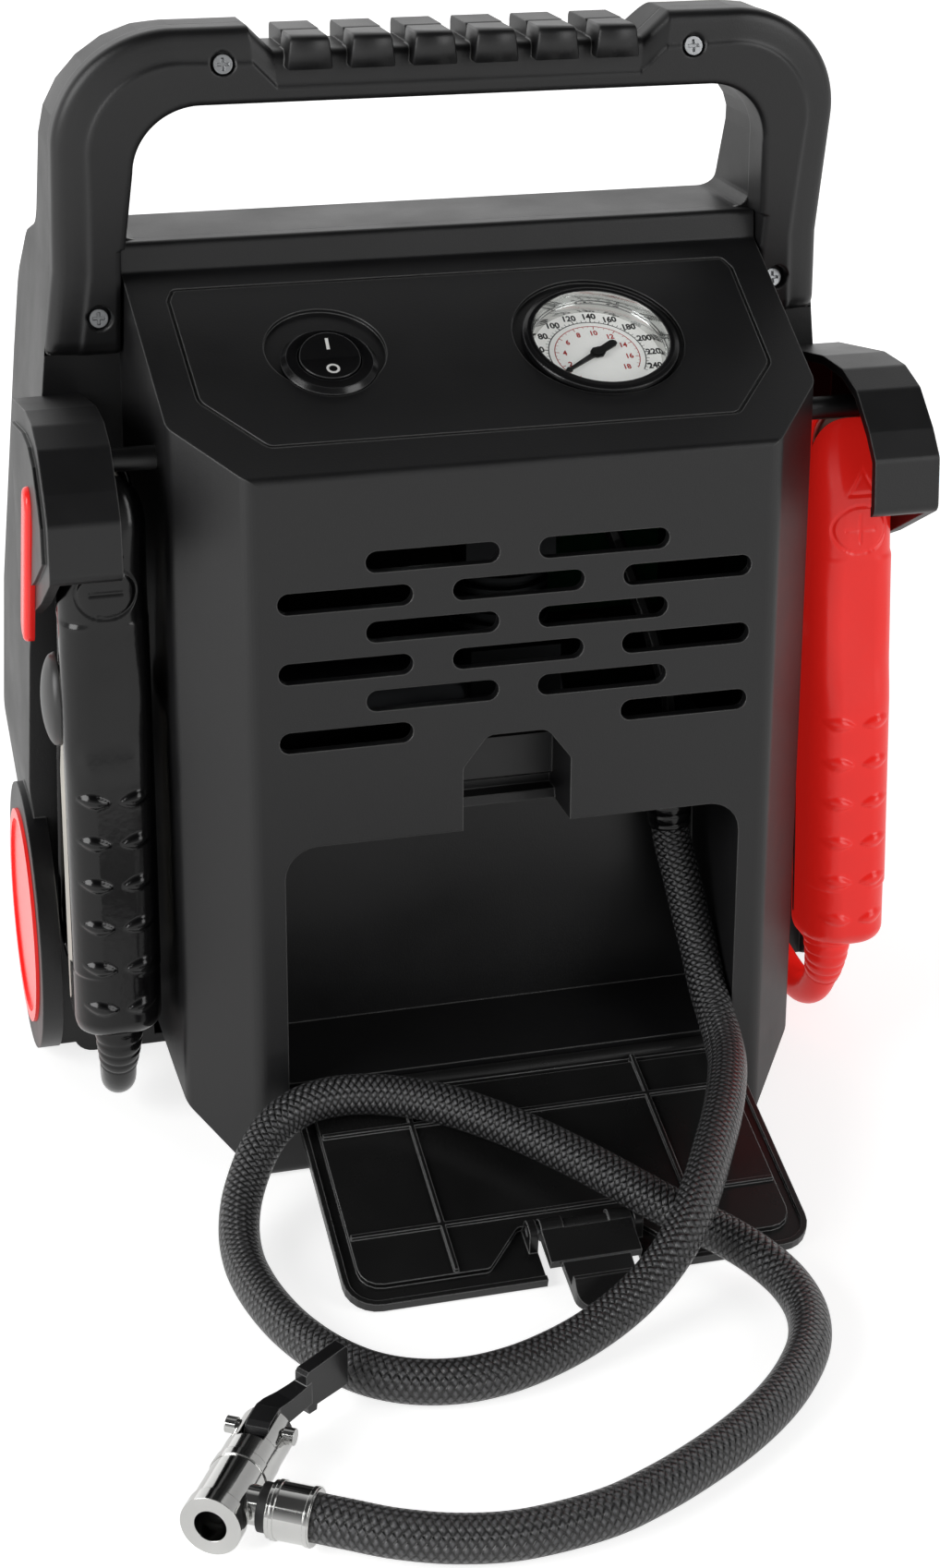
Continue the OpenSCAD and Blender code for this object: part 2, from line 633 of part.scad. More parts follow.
// ---------- Pressure gauge ----------
gauge_case_depth = 24;
module gauge_case() {
    color(dark) in_frame() on_panel(gauge_x, gauge_y) difference() {
        union() {
            translate([0, 0, -gauge_case_depth]) cylinder(r = gauge_case_r, h = gauge_case_depth);
            rotate_extrude() polygon([
                [0, -dish_depth], [gauge_flange_r, -dish_depth], [gauge_flange_r, 0],
                [gauge_flange_r - 0.2, 1.2], [gauge_case_r, 1.8], [0, 1.8]
            ]);
            translate([0, 0, -gauge_case_depth - 8]) cylinder(r = 4, h = 8.5);
        }
        translate([0, 0, -6]) cylinder(r = gauge_case_r - 1.4, h = 10);
        translate([0, 0, -gauge_case_depth + 3]) cylinder(r = gauge_case_r - 3.4, h = 30);
        translate([0, 0, -gauge_case_depth - 9]) cylinder(r = 1.2, h = 13);
    }
}
dial_z = -6;
module gauge_dial() color("white") in_frame() on_panel(gauge_x, gauge_y)
translate([0, 0, dial_z]) difference() {
    cylinder(r = gauge_case_r - 1.5, h = 0.8);
    translate([0, 0, -1]) cylinder(r = 0.8, h = 3);
}
needle_angle = 213;
module gauge_needle() color("black") in_frame() on_panel(gauge_x, gauge_y)
translate([0, 0, dial_z + 1.3]) {
    rotate([0, 0, needle_angle]) difference() {
        union() {
            linear_extrude(0.5) polygon([
                [0, -0.9], [needle_len, -0.25], [needle_len, 0.25], [0, 0.9], [-5, 1.4], [-5, -1.4]
            ]);
            cylinder(r = 2, h = 1);
        }
        translate([0, 0, -1]) cylinder(r = 0.3, h = 1.2);
    }
    translate([0, 0, -4]) cylinder(r = 0.6, h = 4.2);
}
module gauge_lens() color("white", 0.4) in_frame() on_panel(gauge_x, gauge_y)
translate([0, 0, -1.6]) rotate_extrude() polygon([
    [0, 0], [gauge_case_r - 1.5, 0], [gauge_case_r - 1.5, 2.6], [gauge_case_r - 3.5, 3.6], [0, 4]
]);

// ---------- Holsters, rods, accent bars and discs ----------
holster_x0 = 104.4;
holster_x1 = 123.5;
holster_side = [
    [7.5, 178, 3], [32, 164, 4], [57, 152, 4], [joint_y, 150, 0], [joint_y, 206.5, 0],
    [50, 212.5, 8], [35, 212.5, 6], [24, 209, 4], [14, 200, 4], [8.5, 193, 3]
];
module holster(side) {
    color(plastic) in_frame() on_side(side) difference() {
        union() {
            along_x(holster_x0, holster_x1) polygon(rounded(holster_side));
            // The raised field on its outer side.
            along_x(holster_x1 - 1, holster_x1 + 1.2) polygon(rounded(inset(holster_side, 6)));
        }
        for (drop = [0, 6, 12]) translate([0, 0, -drop])
            along_x(holster_x0 - 1, clamp_side + 1.2) polygon(rounded(inset(holster_side, 2.6)));
        rod_x(80, clamp_side + 2, rod_y_pos, rod_z, rod_r);
        accent_groove(0.3, 2);
    }
}
bar_top = [38, 186];
bar_end = [57, 147];
bar_w = 9;
module accent_capsule(r) {
    translate(bar_top) circle(r = r);
    translate(bar_end) circle(r = r);
    polygon([for (e = [[bar_top, 1], [bar_end, 1], [bar_end, -1], [bar_top, -1]])
        let (t = unit(bar_end - bar_top)) e[0] + e[1] * r * [-t[1], t[0]]]);
}
module accent_groove(d, h) along_x(holster_x1, holster_x1 + h) accent_capsule(bar_w / 2 + d);
module left_holster() holster(-1);
module right_holster() holster(1);
module clamp_rods() color(plastic) in_frame()
    both_sides() rod_x(body_half_w - 6, clamp_side + 2, rod_y_pos, rod_z, rod_r);
module accent_bars() color(red) in_frame()
    both_sides() along_x(holster_x1, holster_x1 + 2.9) accent_capsule(bar_w / 2);
module side_discs() color(red) in_frame() both_sides() difference() {
    rod_x(boss_x - 1.2, boss_x + 1, disc_y, disc_z, disc_d / 2);
    rod_x(boss_x + 0.2, boss_x + 5, disc_y, disc_z, disc_d / 2 - 3);
}

// ---------- Jump clamps ----------
// Side outlines (y, z) of the two arms. The jaws close on the rest rod from both sides.
jaw_gap = rod_r + 0.05;
lever_base_z = 37;
jaw_top_z = 205;
front_arm_side = [
    [24, lever_base_z, 5], [42, lever_base_z, 3], [41.5, 112, 12], [38, 134, 14], [36, 160, 14],
    [rod_y_pos - jaw_gap, 184, 6], [rod_y_pos - jaw_gap, jaw_top_z, 1.5], [28, jaw_top_z, 4],
    [25, 178, 20], [23.6, 120, 40]
];
rear_arm_side = [
    [59, 47, 4], [75, 44, 5], [77.5, 56, 4], [67, 108, 20],
    [56, 138, 20], [52, 176, 30], [47, jaw_top_z, 4],
    [rod_y_pos + jaw_gap, jaw_top_z, 1.5], [rod_y_pos + jaw_gap, 188, 4],
    [44.5, 164, 8], [48, 142, 4], [50, 118, 10]
];
// The hollow of each arm, d inside its outline and open towards the other arm.
function front_hollow(d) =
    let (o = inset(front_arm_side, d)) [o[7], o[8], o[9], o[0], [80, o[0][1], 0], [80, o[7][1], 0]];
function rear_hollow(d) =
    let (o = inset(rear_arm_side, d))
    [o[1], o[2], o[3], o[4], o[5], o[6], [10, o[6][1], 0], [10, o[1][1], 0]];
sleeve_wall = 1.8;
ear_r = 8;
front_steel_half = clamp_w / 2 - sleeve_wall;
rear_steel_half = front_steel_half - arm_steel - fit_gap;
// Puts a right-hand clamp piece on the given side of the pack.
module clamp_frame(side) in_frame() on_side(side) translate([clamp_x, 0, 0]) children();
module pivot_rod(half, r) rod_x(-half, half, clamp_pivot_y, clamp_pivot_z, r);
module arm_side(outline, d) {
    polygon(rounded(inset(outline, d)));
    translate([clamp_pivot_y, clamp_pivot_z]) circle(r = ear_r);
}
module front_arm(side) {
    color(steel) clamp_frame(side) difference() {
        along_x(-front_steel_half, front_steel_half) arm_side(front_arm_side, sleeve_wall);
        // The channel is open towards the other arm.
        along_x(arm_steel - front_steel_half, front_steel_half - arm_steel) {
            polygon(rounded(front_hollow(sleeve_wall + arm_steel)));
            translate([clamp_pivot_y, clamp_pivot_z]) circle(r = ear_r + 1);
        }
        pivot_rod(20, rivet_r + pin_gap);
    }
}
module front_sleeve(side, tint) {
    color(tint) clamp_frame(side) difference() {
        union() {
            intersection() {
                along_x(-clamp_w / 2, clamp_w / 2) polygon(rounded(front_arm_side));
                along_y(10, 60) polygon(rounded(mirrored([
                    [clamp_w / 2 - 0.6, lever_base_z, 5], [clamp_w / 2, 90, 30],
                    [clamp_w / 2, jaw_top_z, 9]
                ])));
            }
            // Grip bumps in two columns down the lever.
            for (x = [-bump_x, bump_x]) for (i = [0:5])
                translate([x, 25.4, bump_z + i * bump_pitch]) sphere(r = 3.2, $fn = 32);
        }
        along_x(-front_steel_half, front_steel_half) polygon(rounded(front_hollow(sleeve_wall)));
        // The sleeve's sides are cut back, so that the edges of the steel show beside them.
        along_x(-clamp_w, clamp_w)
            polygon(rounded([[36.5, 56, 4], [50, 56, 0], [50, 152, 0], [34.6, 152, 6]]));
        pivot_rod(20, ear_r + 0.6);
        translate([0, cable_start_y, 0]) cylinder(d = cable_d, h = lever_base_z + 6);
    }
}
cable_start_y = 33;
bump_x = 6.5;
bump_z = 48;
bump_pitch = 12.4;
module rear_arm(side) {
    color(steel) clamp_frame(side) difference() {
        along_x(-rear_steel_half, rear_steel_half) arm_side(rear_arm_side, sleeve_wall);
        along_x(arm_steel - rear_steel_half, rear_steel_half - arm_steel) {
            polygon(rounded(rear_hollow(sleeve_wall + arm_steel)));
            translate([clamp_pivot_y, clamp_pivot_z]) circle(r = ear_r + 1);
        }
        pivot_rod(20, rivet_r + pin_gap);
    }
}
module rear_sleeve(side, tint) {
    color(tint) clamp_frame(side) difference() {
        along_x(-rear_steel_half - sleeve_wall, rear_steel_half + sleeve_wall)
            polygon(rounded(rear_arm_side));
        along_x(-rear_steel_half, rear_steel_half) polygon(rounded(rear_hollow(sleeve_wall)));
        pivot_rod(20, ear_r + 0.8);
    }
}
module clamp_pivot(side) {
    color(steel) clamp_frame(side) {
        pivot_rod(front_steel_half, rivet_r);
        for (x = [-1, 1]) on_side(x)
            rod_x(front_steel_half, clamp_w / 2 + 0.3, clamp_pivot_y, clamp_pivot_z, ear_r - 1.4);
    }
}
// Torsion spring round the rivet: turns, then one leg down each lever.
spring_r = 4.6;
spring_wire = 1.4;
spring_steps = 4 * 8 + 4;
spring_half = rear_steel_half - arm_steel - 1;
spring_path = concat(
    [for (z = [-26, -12]) [-spring_half, clamp_pivot_y - spring_r, clamp_pivot_z + z]],
    [for (i = [0:spring_steps]) let (a = 180 - i * 45) [
        spring_half * (2 * i / spring_steps - 1),
        clamp_pivot_y + spring_r * cos(a),
        clamp_pivot_z + spring_r * sin(a)
    ]],
    [for (z = [-12, -26]) [spring_half, clamp_pivot_y + spring_r - 2.4 - z * 2 / 7, clamp_pivot_z + z]]
);
module clamp_spring(side) color(steel) clamp_frame(side) tube(spring_path, spring_wire, 6, [1, 0, 0]);
module red_front_arm() front_arm(1);
module red_front_sleeve() front_sleeve(1, red);
module red_rear_arm() rear_arm(1);
module red_rear_sleeve() rear_sleeve(1, red);
module red_pivot() clamp_pivot(1);
module red_spring() clamp_spring(1);
module black_front_arm() front_arm(-1);
module black_front_sleeve() front_sleeve(-1, dark);
module black_rear_arm() rear_arm(-1);
module black_rear_sleeve() rear_sleeve(-1, dark);
module black_pivot() clamp_pivot(-1);
module black_spring() clamp_spring(-1);

// ---------- Jump cables ----------
gland_y = 71;
gland_z = 25;
cable_route = [
    [107, 33, 38], [107, 33, 31], [107, 35.5, 23], [106.6, 40, 16], [106, 46.5, 12.2], [105.2, 54, 12],
    [103.8, 61, 14.6], [102.2, 66.3, 18.2], [100, 69.8, 22], [97.6, 71, 25], [95, 71, 25]
];
module cable_gland_hole()
    rod_x(body_half_w - wall - 6, body_half_w + 5, gland_y, gland_z, cable_d / 2 + 1.25);
module cable_glands() color(dark) in_frame() both_sides() difference() {
    union() {
        rod_x(body_half_w - wall - 3, body_half_w, gland_y, gland_z, cable_d / 2 + 1.2);
        rod_x(body_half_w - 0.05, 95, gland_y, gland_z, cable_d / 2 + 3);
    }
    rod_x(80, 92, gland_y, gland_z, cable_d / 2 - 1.5);
}
module red_jump_cable() color(red) in_frame() tube(cable_route, cable_d);
module black_jump_cable() color(dark) in_frame() on_side(-1) tube(cable_route, cable_d);

// ---------- Air hose ----------
hose_route = [
    [53, 26, 96], [53, 26, 88], [54, 25.2, 78], [56, 22.5, 68], [57.8, 18.5, 57], [59, 12.5, 47],
    [59.2, 6, 39.5], [59.2, -2, 34], [58, -11.5, 31.3], [55, -23.3, 30.8], [50, -36.1, 30.6],
    [44, -49, 30], [37, -61.8, 28.6], [30.2, -73.6, 26.5], [24.2, -82.2, 23.4], [18, -88.5, 19.5],
    [11, -93.3, 15.2], [3, -97.3, 11.2], [-7, -101.4, 8], [-18.1, -105.4, 6.1], [-31, -109.5, 5.6],
    [-44, -111, 5.6], [-56, -108.5, 5.6], [-66, -102.5, 5.6], [-74, -93, 5.6], [-80, -81.5, 5.6],
    [-84, -69, 5.6], [-86.3, -56, 5.6], [-86.8, -45, 6], [-85.8, -35, 8.5], [-82.8, -26, 13],
    [-77, -18, 20], [-70, -12.8, 25.2], [-60, -10.2, 28.3], [-48, -10.2, 28.8], [-36, -12.8, 27.8],
    [-24.3, -19.2, 26.9], [-13.1, -27.7, 25.2], [-3, -37.4, 23.3], [7.7, -48.7, 20.7],
    [17.7, -59.8, 17.8], [27.2, -69.6, 14.8], [36.4, -76.9, 11.5], [42.8, -85.9, 9.4],
    [47.1, -94.6, 6.8], [47.4, -105.5, 5.6], [43.4, -117.5, 5.6], [36, -128.5, 5.6], [26.5, -138.5, 5.6],
    [15, -147.5, 5.6], [2, -155.5, 5.6], [-12, -162.5, 5.6], [-26.5, -167.6, 5.6], [-45.5, -169.8, 5.7],
    [-60.5, -168, 6.1], [-73.8, -164, 7], [-84.3, -158.4, 7.5], [-90.24, -154.68, 7.5]
];
hose_gland_x = 53;
hose_gland_y = 26;
module hose_gland_hole() translate([hose_gland_x, hose_gland_y, bay_top]) {
    translate([0, 0, -1]) cylinder(r = hose_d / 2 + 1.05, h = 6);
    translate([0, 0, -4]) cylinder(r = hose_d / 2 + 3.05, h = 4);
}
module hose_gland() color(dark) in_frame() translate([hose_gland_x, hose_gland_y, 0]) difference() {
    union() {
        translate([0, 0, bay_top - 3.5]) cylinder(r = hose_d / 2 + 3, h = 3.5);
        translate([0, 0, bay_top - bite]) cylinder(r = hose_d / 2 + 1, h = 6);
    }
    translate([0, 0, bay_top + 1]) cylinder(r = 1.5, h = 10);
}
module air_hose() color(dark) in_frame() tube(hose_route, hose_d);

// ---------- Tyre chuck ----------
// Chuck coordinates: origin in the middle of the ring face, x along the barrel, y away from the hose.
chuck_axis_z = chuck_d / 2 + 0.1;
chuck_heading = 58;
stem_x = 10;
hose_end_d = 22;
module chuck_frame() in_frame()
    translate([-114.2, -151.5, chuck_axis_z]) rotate([0, 0, chuck_heading]) children();
lever_pin_x = 32;
lever_pin_z = 3;
bore_len = 14;
seal_end = 18;
seal_r = chuck_bore_d / 2 + 0.4;
module chuck_body() color(steel) chuck_frame() difference() {
    union() {
        rod_x(1, 26, 0, 0, chuck_d / 2 - 0.4);
        rod_x(0, 4, 0, 0, chuck_d / 2);
        rod_x(17, 19.5, 0, 0, chuck_d / 2 - 0.1);
        intersection() {
            rod_x(20, chuck_len, 0, 0, chuck_d / 2 - 0.6);
            box([20, -10, -8], [chuck_len, 10, 8]);
        }
        rod_y(-chuck_d / 2 - 1.5, 0, stem_x, 0, 4.4);
    }
    rod_x(-1, bore_len, 0, 0, chuck_bore_d / 2);
    // The seat of the seal behind the bore.
    rod_x(bore_len - bite, seal_end, 0, 0, seal_r);
    // The slot that the lever turns in.
    box([25, -3.3, -3], [chuck_len + 1, 3.3, 10]);
    rod_y(-10, 10, lever_pin_x, lever_pin_z, pin_r + pin_gap);
    // Flats under the two heads of the pin.
    for (y = [-9, 5.9]) rod_y(y, y + 3.1, lever_pin_x, lever_pin_z, 2.05);
}
module chuck_seal() color(dark) chuck_frame() difference() {
    rod_x(bore_len + fit_gap, seal_end, 0, 0, seal_r);
    rod_x(bore_len - 1, seal_end + 1, 0, 0, 1.6);
}
module chuck_pin() color(steel) chuck_frame() {
    rod_y(-5.9, 5.9, lever_pin_x, lever_pin_z, pin_r);
    for (y = [-1, 1]) mirror([0, y < 0 ? 0 : 1, 0]) rod_y(-8.6, -5.9, lever_pin_x, lever_pin_z, 2);
}
module chuck_lever() color(dark) chuck_frame() difference() {
    union() {
        rod_y(-3, 3, lever_pin_x, lever_pin_z, 3.4);
        along_plate(-3, 3) polygon(rounded([
            [lever_pin_x - 1, lever_pin_z - 3, 0], [lever_pin_x + 8, lever_pin_z - 3, 2],
            [lever_pin_x + 24, lever_pin_z + 4.5, 3], [lever_pin_x + 41, lever_pin_z + 9, 1],
            [lever_pin_x + 40, lever_pin_z + 11.4, 1], [lever_pin_x + 22, lever_pin_z + 7.5, 3],
            [lever_pin_x + 6, lever_pin_z + 3.4, 3], [lever_pin_x, lever_pin_z + 3.4, 0]
        ]));
        along_plate(-8, 8) polygon(rounded([
            [lever_pin_x + 27, lever_pin_z + 5, 1], [lever_pin_x + 33, lever_pin_z + 6.6, 1],
            [lever_pin_x + 32, lever_pin_z + 10.4, 1], [lever_pin_x + 26, lever_pin_z + 9, 1]
        ]));
    }
    rod_y(-10, 10, lever_pin_x, lever_pin_z, pin_r + pin_gap);
}
module along_plate(y0, y1) translate([0, y1, 0]) rotate([90, 0, 0]) linear_extrude(y1 - y0) children();
module chuck_elbow() color(dark) chuck_frame() difference() {
    rod_y(-chuck_d / 2 - 4, -chuck_d / 2 - 1.5, stem_x, 0, 5.6);
    rod_y(-chuck_d, 0, stem_x, 0, 2);
}
module hose_ferrule() color(steel) chuck_frame() difference() {
    union() {
        rod_y(-hose_end_d, -chuck_d / 2 - 4, stem_x, 0, hose_d / 2 + 1);
        for (d = [12.4, 20.6]) rod_y(-d - 1, -d, stem_x, 0, hose_d / 2 + 1.3);
    }
    rod_y(-hose_end_d + 1.5, 0, stem_x, 0, 2);
}

// ---------- Battery and compressor ----------
motor_r = 18;
motor_x0 = -60;
motor_x1 = -6;
motor_y = 45.5;
motor_z = bay_top + 2.4 + motor_r + 1;
// The battery stands between the compartment's back wall and the front housing.
battery_near = bay_depth + 8.5;
battery_d = body_depth - wall - 4.5 - battery_near;
battery_z = 6.5;
module battery() color("#3b3d40") in_frame() {
    along_z(battery_z, battery_z + battery_h) polygon(rounded(mirrored([
        [battery_w / 2, battery_near, 3], [battery_w / 2, battery_near + battery_d, 3]
    ]), 4));
    both_sides() translate([battery_w / 2 - 14, battery_near + battery_d - 12, battery_z + battery_h])
        cylinder(r = 6, h = 5);
}
// Two ribs on the floor that the battery stands on.
module battery_ribs(near, far) both_sides() box([50, near, wall - bite], [54, far, battery_z]);
module compressor_motor() color(steel) in_frame() {
    rod_x(motor_x0, motor_x1, motor_y, motor_z, motor_r);
    rod_x(motor_x0 - 5, motor_x0, motor_y, motor_z, 7);
    rod_x(motor_x1, motor_x1 + 3, motor_y, motor_z, 3);
}
module compressor_crankcase() color(steel) in_frame() difference() {
    union() {
        box([motor_x1, motor_y - 19, bay_top + 2.4], [motor_x1 + 26, motor_y + 19, motor_z + 20]);
        rod_x(motor_x1 + 26, motor_x1 + 29, motor_y, motor_z, 12);
    }
    rod_x(motor_x1 - 1, motor_x1 + 3, motor_y, motor_z, 3);
}
cyl_x = motor_x1 + 13;
module compressor_cylinder() color(steel) in_frame() translate([cyl_x, motor_y, motor_z + 20]) {
    cylinder(r = 11, h = 30);
    for (i = [0:5]) translate([0, 0, 3 + i * 3.6]) cylinder(r = 14, h = 1.6);
    translate([-13, -13, 24]) cube([26, 26, 6]);
}
// The gauge's stem ends here; the branch runs on along its axis to the tube.
gauge_stem = gauge_case_depth + 8;
stem_end = [
    gauge_x,
    gauge_y + gauge_stem * sin(panel_slope),
    face_h + gauge_y * tan(panel_slope) - gauge_stem * cos(panel_slope)
];
branch_len = 14;
branch_end = stem_end + branch_len * [0, sin(panel_slope), -cos(panel_slope)];
air_route = [
    [cyl_x + 13, motor_y, motor_z + 47], [cyl_x + 17, motor_y, motor_z + 47],
    [cyl_x + 21, motor_y + 2, motor_z + 48.5],
    branch_end - [3.5, 3, 3], branch_end, branch_end + [4, -2.5, -4], [44, 52, motor_z + 40],
    [50, 38, motor_z + 18], [hose_gland_x, hose_gland_y + 2, bay_top + 22],
    [hose_gland_x, hose_gland_y, bay_top + 14], [hose_gland_x, hose_gland_y, bay_top + 6]
];
module air_tube() color("white") in_frame() {
    tube(air_route, 5, 8, [0, 1, 0]);
    translate(stem_end) rotate([180 + panel_slope, 0, 0]) cylinder(r = 2.4, h = branch_len);
}

// ---------- Board, lamp, socket, button and switch on the front side ----------
board_x = 57;
board_z = 127;
board_half_w = 29;
board_half_h = 19;
board_y = body_depth - wall - 13;
module control_board() color("#1f5f3a") in_frame() translate([board_x, 0, board_z]) {
    box([-board_half_w, board_y, -board_half_h], [board_half_w, board_y + 1.6, board_half_h]);
    for (x = [4 - board_half_w, board_half_w - 4]) for (z = [3.5 - board_half_h, board_half_h - 3.5])
        rod_y(board_y + 1.6, body_depth - wall, x, z, 2);
}
// The lamp's axis: z runs from the front side into the pack.
module lamp_frame() in_frame() translate([0, body_depth, lamp_z]) rotate([90, 0, 0]) children();
module lamp_reflector() color("silver") lamp_frame() rotate_extrude() polygon([
    [lamp_d / 2, -1.5], [lamp_d / 2, 3], [lamp_d / 2 - 3, 10], [16, 24], [7, 30],
    [5.1, 30], [5.1, 28], [14, 22],
    [lamp_d / 2 - 5, 9], [lamp_d / 2 - 3, 2.5], [lamp_d / 2 - 3, -1.5]
]);
module lamp_bulb() color("white") lamp_frame() {
    translate([0, 0, 18]) cylinder(r = 5, h = 14);
    translate([0, 0, 18]) sphere(r = 5);
}
module lamp_lens() color("white", 0.4) lamp_frame() rotate_extrude() polygon([
    [0, -2.6], [lamp_d / 2 - 4.5, -1.6], [lamp_d / 2 - 3.1, -1], [lamp_d / 2 - 3.1, 1.6], [0, 1.6]
]);
module power_socket() color(dark) in_frame() difference() {
    union() {
        rod_y(body_depth - 38, body_depth, -socket_x, socket_z, socket_d / 2 + 2);
        rod_y(body_depth, body_depth + 2, -socket_x, socket_z, socket_d / 2 + 6);
        // The two lugs that carry the cap.
        for (x = [-cap_lug_x, cap_lug_x]) translate([x - socket_x, body_depth, 0])
            box([-1.2, 0, socket_z + 10], [1.2, cap_rise, cap_axis_z + 2]);
    }
    rod_y(body_depth - 36, body_depth + 5, -socket_x, socket_z, socket_d / 2);
    rod_x(-socket_x - 8.8, -socket_x + 8.8, cap_axis_y, cap_axis_z, 0.8 + pin_gap);
}
cap_axis_y = body_depth + 3;
cap_lug_x = 7.6;
cap_axis_z = socket_z + 19;
module socket_cap() color(dark) in_frame() {
    difference() {
        rod_y(body_depth + 2.3, body_depth + cap_rise, -socket_x, socket_z, socket_d / 2 + 5);
        for (x = [-cap_lug_x, cap_lug_x]) translate([x - socket_x, body_depth, 0])
            box([-1.5, 0, socket_z + 9.6], [1.5, 9, cap_axis_z]);
    }
    box([-socket_x - 6, body_depth + 2.3, socket_z + 8],
        [-socket_x + 6, body_depth + cap_rise, cap_axis_z]);
    rod_x(-socket_x - 6, -socket_x + 6, cap_axis_y, cap_axis_z, 1.5);
    rod_x(-socket_x - 8.7, -socket_x + 8.7, cap_axis_y, cap_axis_z, 0.8);
}
button_r = 5;
module test_button() color(red) in_frame() {
    rod_y(body_depth - wall - 2, body_depth + 2, button_x, button_z, button_r);
    rod_y(body_depth - wall - 4, body_depth - wall - 2, button_x, button_z, button_r + 1.5);
}
module lamp_switch() color(dark) in_frame()
    translate([lamp_switch_x, body_depth - 1, button_z]) rotate([5, 0, 0]) along_x(-10, 10)
    polygon(rounded([[-5, -4.5, 1], [2.6, -5.2, 1], [1, 0, 0], [2.6, 5.2, 1], [-5, 4.5, 1]]));

rear_housing();
front_housing();
handle_rear_shell();
handle_screws();
frame_screws();
hose_door();
door_hinge_pins();
latch_clip();
latch_pin();
switch_bezel();
switch_rocker();
gauge_case();
gauge_dial();
gauge_needle();
gauge_lens();
left_holster();
right_holster();
clamp_rods();
accent_bars();
side_discs();
red_front_arm();
red_front_sleeve();
red_rear_arm();
red_rear_sleeve();
red_pivot();
red_spring();
black_front_arm();
black_front_sleeve();
black_rear_arm();
black_rear_sleeve();
black_pivot();
black_spring();
red_jump_cable();
black_jump_cable();
cable_glands();
air_hose();
hose_gland();
hose_ferrule();
chuck_elbow();
chuck_body();
chuck_seal();
chuck_lever();
chuck_pin();
battery();
compressor_motor();
compressor_crankcase();
compressor_cylinder();
air_tube();
control_board();
lamp_reflector();
lamp_bulb();
lamp_lens();
power_socket();
socket_cap();
test_button();
lamp_switch();
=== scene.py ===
"""Jump starter pack: looks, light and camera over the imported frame.

Shapes are written in millimetres from the pack's rear face, which carries the gauge and the
hose door: x to the right, y away from that face, z up from the ground. Lamps, floor and the
patterns of materials are written in metres.
"""

import bmesh
import bpy
import numpy as np
from mathutils import Matrix


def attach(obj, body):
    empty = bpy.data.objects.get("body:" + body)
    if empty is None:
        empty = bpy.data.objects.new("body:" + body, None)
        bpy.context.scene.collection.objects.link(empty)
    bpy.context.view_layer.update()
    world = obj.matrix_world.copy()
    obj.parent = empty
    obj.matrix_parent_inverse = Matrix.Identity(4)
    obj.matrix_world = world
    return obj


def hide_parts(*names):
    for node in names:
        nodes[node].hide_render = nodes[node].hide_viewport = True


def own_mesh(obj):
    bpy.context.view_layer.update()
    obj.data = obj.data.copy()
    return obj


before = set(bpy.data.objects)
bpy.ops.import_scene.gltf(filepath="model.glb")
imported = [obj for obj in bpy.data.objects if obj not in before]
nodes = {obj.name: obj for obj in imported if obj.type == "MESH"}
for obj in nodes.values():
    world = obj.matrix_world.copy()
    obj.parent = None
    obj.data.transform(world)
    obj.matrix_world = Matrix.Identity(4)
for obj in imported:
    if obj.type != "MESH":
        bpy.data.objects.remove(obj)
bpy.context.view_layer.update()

# ---------------------------------------------------------------- Camera
# A portrait view from the left and above, turned 15 degrees and pitched 18 degrees down, with
# its upright lines kept by a lens shift.
REAR_FACE_Y = -36.108968
YAW, PITCH, ROLL = 0.26217, 0.31896, -0.003636
EYE_AT = [-197.04, -679.17, 424.98]
LENS, SENSOR = 64.79, 36.0
SHIFT_X, SHIFT_Y = 0.00254, -0.1772
NEAR_CLIP, FAR_CLIP = 0.05, 50.0


def at(points):
    """Millimetres from the rear face become metres in the part's frame: y moves by REAR_FACE_Y."""
    return (np.asarray(points, float) + [0.0, REAR_FACE_Y, 0.0]) / 1000.0


def aimed(yaw, pitch, roll):
    """Rows right, down and forward of a view turned by yaw, then pitched down, then rolled."""
    cy, sy, cp, sp = np.cos(yaw), np.sin(yaw), np.cos(pitch), np.sin(pitch)
    forward = np.array([sy * cp, cy * cp, -sp])
    right = np.array([cy, -sy, 0.0])
    down = np.cross(forward, right)
    cr, sr = np.cos(roll), np.sin(roll)
    return cr * right + sr * down, cr * down - sr * right, forward


def set_up(name, data, right, up, back, place):
    """Puts a camera or a lamp at a place in metres, its three axes along the directions given."""
    obj = bpy.data.objects.new(name, data)
    bpy.context.scene.collection.objects.link(obj)
    matrix = np.eye(4)
    matrix[:3] = np.column_stack([right, up, back, place])
    obj.matrix_world = Matrix(matrix.tolist())
    return obj


right, down, forward = aimed(YAW, PITCH, ROLL)
camera = set_up("camera", bpy.data.cameras.new("camera"), right, -down, -forward, at(EYE_AT))
camera.data.lens, camera.data.sensor_width = LENS, SENSOR
camera.data.shift_x, camera.data.shift_y = SHIFT_X, SHIFT_Y
camera.data.clip_start, camera.data.clip_end = NEAR_CLIP, FAR_CLIP
bpy.context.scene.camera = camera

